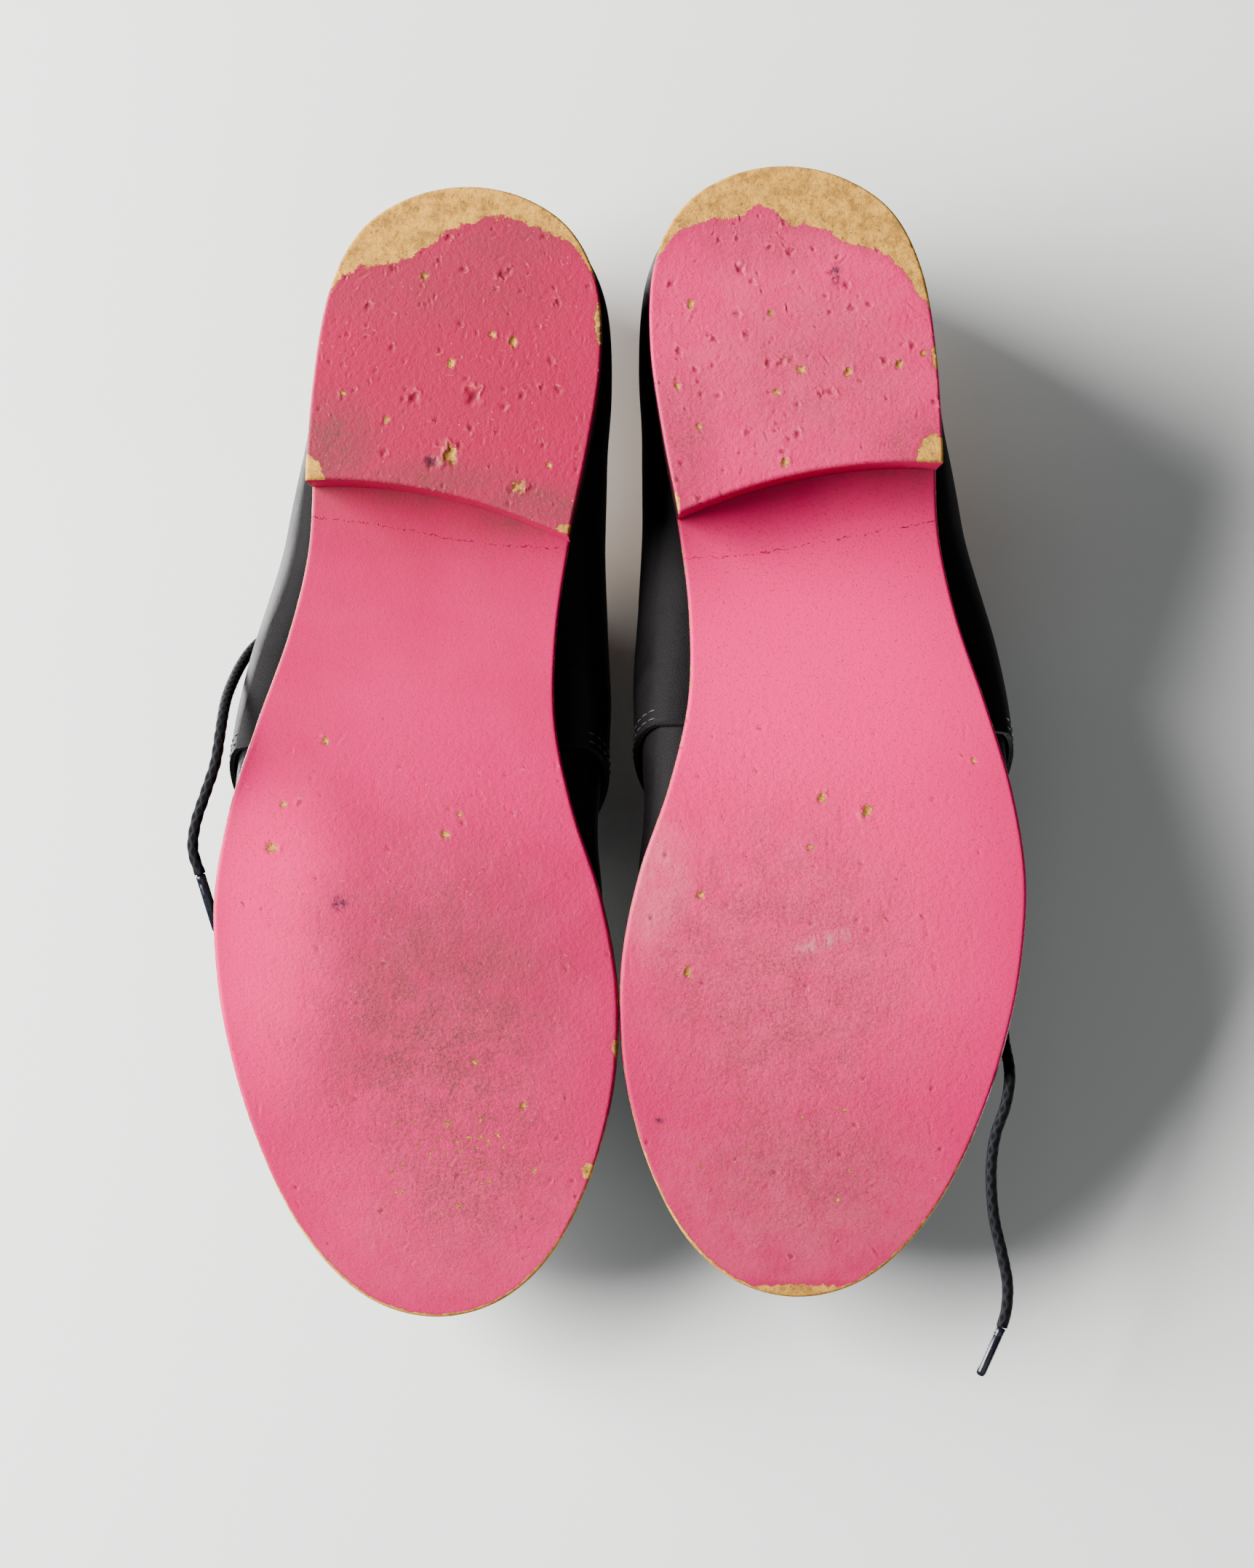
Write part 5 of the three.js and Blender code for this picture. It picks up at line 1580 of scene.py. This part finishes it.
def eyelets(shoe):
    r, barrel = EYELET_BORE, EYELET_BORE + EYELET_WALL
    low, high = LINING_LEVEL[0] + GAP, FLANGE_LEVEL + EYELET_RIM
    profile = [
        (r, low), (barrel, low), (barrel, FLANGE_LEVEL), (EYELET_FLANGE - 0.15, FLANGE_LEVEL),
        (EYELET_FLANGE, FLANGE_LEVEL + 0.18), (EYELET_FLANGE - 0.2, high - 0.16),
        (EYELET_FLANGE - 0.6, high), (r + 0.5, high), (r + 0.15, high - 0.12), (r, high - 0.45),
    ]
    wear = [0, 0, 0, 0, 0.4, 0.8, 1, 0.9, 0.6, 0.1]
    for side in (1, -1):
        for number in range(EYELET_PAIRS):
            centre, out, _, _ = eyelet_seat(side, number)
            node = f"eyelet_{SIDE_NAMES[side]}_{number + 1}"
            obj = turned_piece(f"{shoe}_{node}_ring", shoe, centre, out, profile, 32, "enamel", wear)
            settle(obj, shoe, node)


def through_eyelet(side, number, outside, inside):
    centre, out, _, _ = eyelet_seat(side, number)

    def spot(level, away, reach):
        return centre + out * level + away * reach
    return [
        spot(LACE_OVER, outside, 5),
        spot(LACE_OVER - 0.2, outside, 1.6),
        spot(FLANGE_LEVEL + 0.8, outside, 0.15),
        spot(0.2, inside, 0),
        spot(LINING_LEVEL[0] - 0.5, inside, 0.15),
        spot(LACE_UNDER + 0.2, inside, 1.6),
        spot(LACE_UNDER, inside, 5),
    ]


def laced_route():
    """Straight lacing: a bar over each of the three lower pairs, and the runs between them underneath."""
    def up(side, number):
        return eyelet_seat(side, number)[2]

    def down(side, number):
        return -up(side, number)

    def inward(side, number):
        return eyelet_seat(side, number)[3]

    def over(number, side):
        station = eyelet_station(number)
        spots = []
        for half in (side, 0, -side):
            if half == 0:
                spots.append(on_last(1, station, 1, LACE_OVER + 0.3))
            else:
                height = height_for_reach(half, station, FACING_GAP + 1)
                spots.append(on_last(half, station, height, LACE_OVER + 0.2))
        return spots

    def beside(side, number, reach):
        centre, out, _, towards = eyelet_seat(side, number)
        return [centre + out * LACE_UNDER + towards * reach]

    def bar(number, side, in_run, out_run):
        return [
            *through_eyelet(side, number, inward(side, number), in_run(side, number))[::-1],
            *over(number, side),
            *through_eyelet(-side, number, inward(-side, number), out_run(-side, number)),
        ]
    top = EYELET_PAIRS - 1
    return [
        *through_eyelet(1, top, -inward(1, top), down(1, top)),
        *bar(2, 1, up, down),
        *beside(-1, 1, 3.9),
        *bar(0, -1, up, up),
        *bar(1, 1, down, up),
        *beside(-1, 2, -3.9),
        *through_eyelet(-1, top, -inward(-1, top), down(-1, top))[::-1],
    ]


def laced_section(shoe):
    line = smooth_line([np.reshape(p, 3) for p in laced_route()])
    settle(braided(f"{shoe}_lace_braid", shoe, line, LACE_DIAMETER), shoe, "lace")


for shoe in SHOES:
    vamp(shoe)
    vamp_lining(shoe)
    quarter(shoe, 1)
    quarter(shoe, -1)
    quarter_lining(shoe)
    backstay(shoe)
    tongue(shoe)
    sock_liner(shoe)
    stitching(shoe)
    eyelets(shoe)
    laced_section(shoe)


# ---- the CAD nodes that stay as they are get their finishes ----

KEPT_NODES = {
    "filler": "cork", "shank": "steel", "insole": "board", "toe_puff": "felt", "heel_counter": "board",
}
for shoe in SHOES:
    for node, kind in KEPT_NODES.items():
        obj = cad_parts[f"{shoe}_{node}"]
        obj.data.materials.clear()
        obj.data.materials.append(MATERIALS[kind])


# ---- stage ----

def stage_sheet(name, profile, width, facing_down, colour, glow=0.0):
    """A plain sheet that only the camera sees, and only from its front. It takes shadows and casts none.
    profile gives (y, height) along it."""
    half = width / 2
    mesh = bpy.data.meshes.new(name)
    points = [(x, y, height) for y, height in profile for x in (-half, half)]
    faces = [(2 * i, 2 * i + 1, 2 * i + 3, 2 * i + 2) for i in range(len(profile) - 1)]
    if facing_down:
        faces = [face[::-1] for face in faces]
    mesh.from_pydata(points, [], faces)
    mesh.polygons.foreach_set("use_smooth", [True] * len(faces))
    material = bpy.data.materials.new(name)
    material.use_nodes = True
    tree = material.node_tree
    tree.nodes.clear()
    paper = tree.nodes.new("ShaderNodeBsdfDiffuse")
    paper.inputs["Color"].default_value = colour
    # painted light: an emission by which the sheet shines of itself, on top of the lamps' light
    painted_glow = tree.nodes.new("ShaderNodeEmission")
    painted_glow.inputs["Strength"].default_value = glow
    both = tree.nodes.new("ShaderNodeAddShader")
    tree.links.new(paper.outputs[0], both.inputs[0])
    tree.links.new(painted_glow.outputs[0], both.inputs[1])
    clear = tree.nodes.new("ShaderNodeBsdfTransparent")
    side = tree.nodes.new("ShaderNodeNewGeometry")
    choose = tree.nodes.new("ShaderNodeMixShader")
    output = tree.nodes.new("ShaderNodeOutputMaterial")
    tree.links.new(side.outputs["Backfacing"], choose.inputs[0])
    tree.links.new(both.outputs[0], choose.inputs[1])
    tree.links.new(clear.outputs[0], choose.inputs[2])
    tree.links.new(choose.outputs[0], output.inputs["Surface"])
    mesh.materials.append(material)
    obj = bpy.data.objects.new(name, mesh)
    bpy.context.scene.collection.objects.link(obj)
    obj.visible_shadow = False
    obj.visible_diffuse = False
    obj.visible_glossy = False
    obj.visible_transmission = False


def lamp(name, place, aim, power, size, colour=(1, 1, 1)):
    data = bpy.data.lights.new(name, "AREA")
    data.energy = power
    data.size = size
    data.color = colour
    obj = bpy.data.objects.new(name, data)
    bpy.context.scene.collection.objects.link(obj)
    obj.location = place
    obj.rotation_euler = (Vector(aim) - Vector(place)).to_track_quat("-Z", "Y").to_euler()


BACKDROP_CLEARANCE = 0.0008
FLOOR_LEVEL = -0.0004


def make_stage():
    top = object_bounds()[1].z + BACKDROP_CLEARANCE
    rise = [(-0.3, 0.014), (-0.2, 0.036), (-0.13, 0.054), (-0.048, 0.077), (0.03, 0.098)]
    drape = through([*rise, (0.1, top), (0.3, top)], True)
    bend = [(y, float(drape(y))) for y in np.linspace(-0.3, 0.12, 61)]
    stage_sheet("backdrop", [(-1.5, bend[0][1]), *bend, (1.5, top)], 3.0, True, srgb(236, 238, 236))
    # The floor also shines a little of itself, painted light, so that it stays bright far from the lamps.
    stage_sheet("floor", [(-15, FLOOR_LEVEL), (15, FLOOR_LEVEL)], 30.0, False, srgb(232, 232, 230), 0.45)
    middle = (0, 0, 0.03)
    lamp("window_below", (1.4, 0.32, -0.7), middle, 172, 1.25, (1.0, 0.99, 0.975))
    lamp("fill_below", (-0.3, -0.9, -1.3), middle, 5, 1.4, (0.96, 0.98, 1.0))
    lamp("window_above", (1.2, 0.5, 1.3), middle, 85, 1.0)
    lamp("fill_above", (-1.2, -1.0, 1.0), middle, 34, 1.4)
    world = bpy.data.worlds.new("world")
    world.use_nodes = True
    tree = world.node_tree
    background = tree.nodes["Background"]
    background.inputs["Color"].default_value = (0.86, 0.87, 0.88, 1)
    seen = tree.nodes.new("ShaderNodeLightPath")
    strength = tree.nodes.new("ShaderNodeMapRange")
    strength.inputs["To Min"].default_value = 0.11
    strength.inputs["To Max"].default_value = 2.2
    tree.links.new(seen.outputs["Is Camera Ray"], strength.inputs["Value"])
    tree.links.new(strength.outputs[0], background.inputs["Strength"])
    bpy.context.scene.world = world


make_stage()
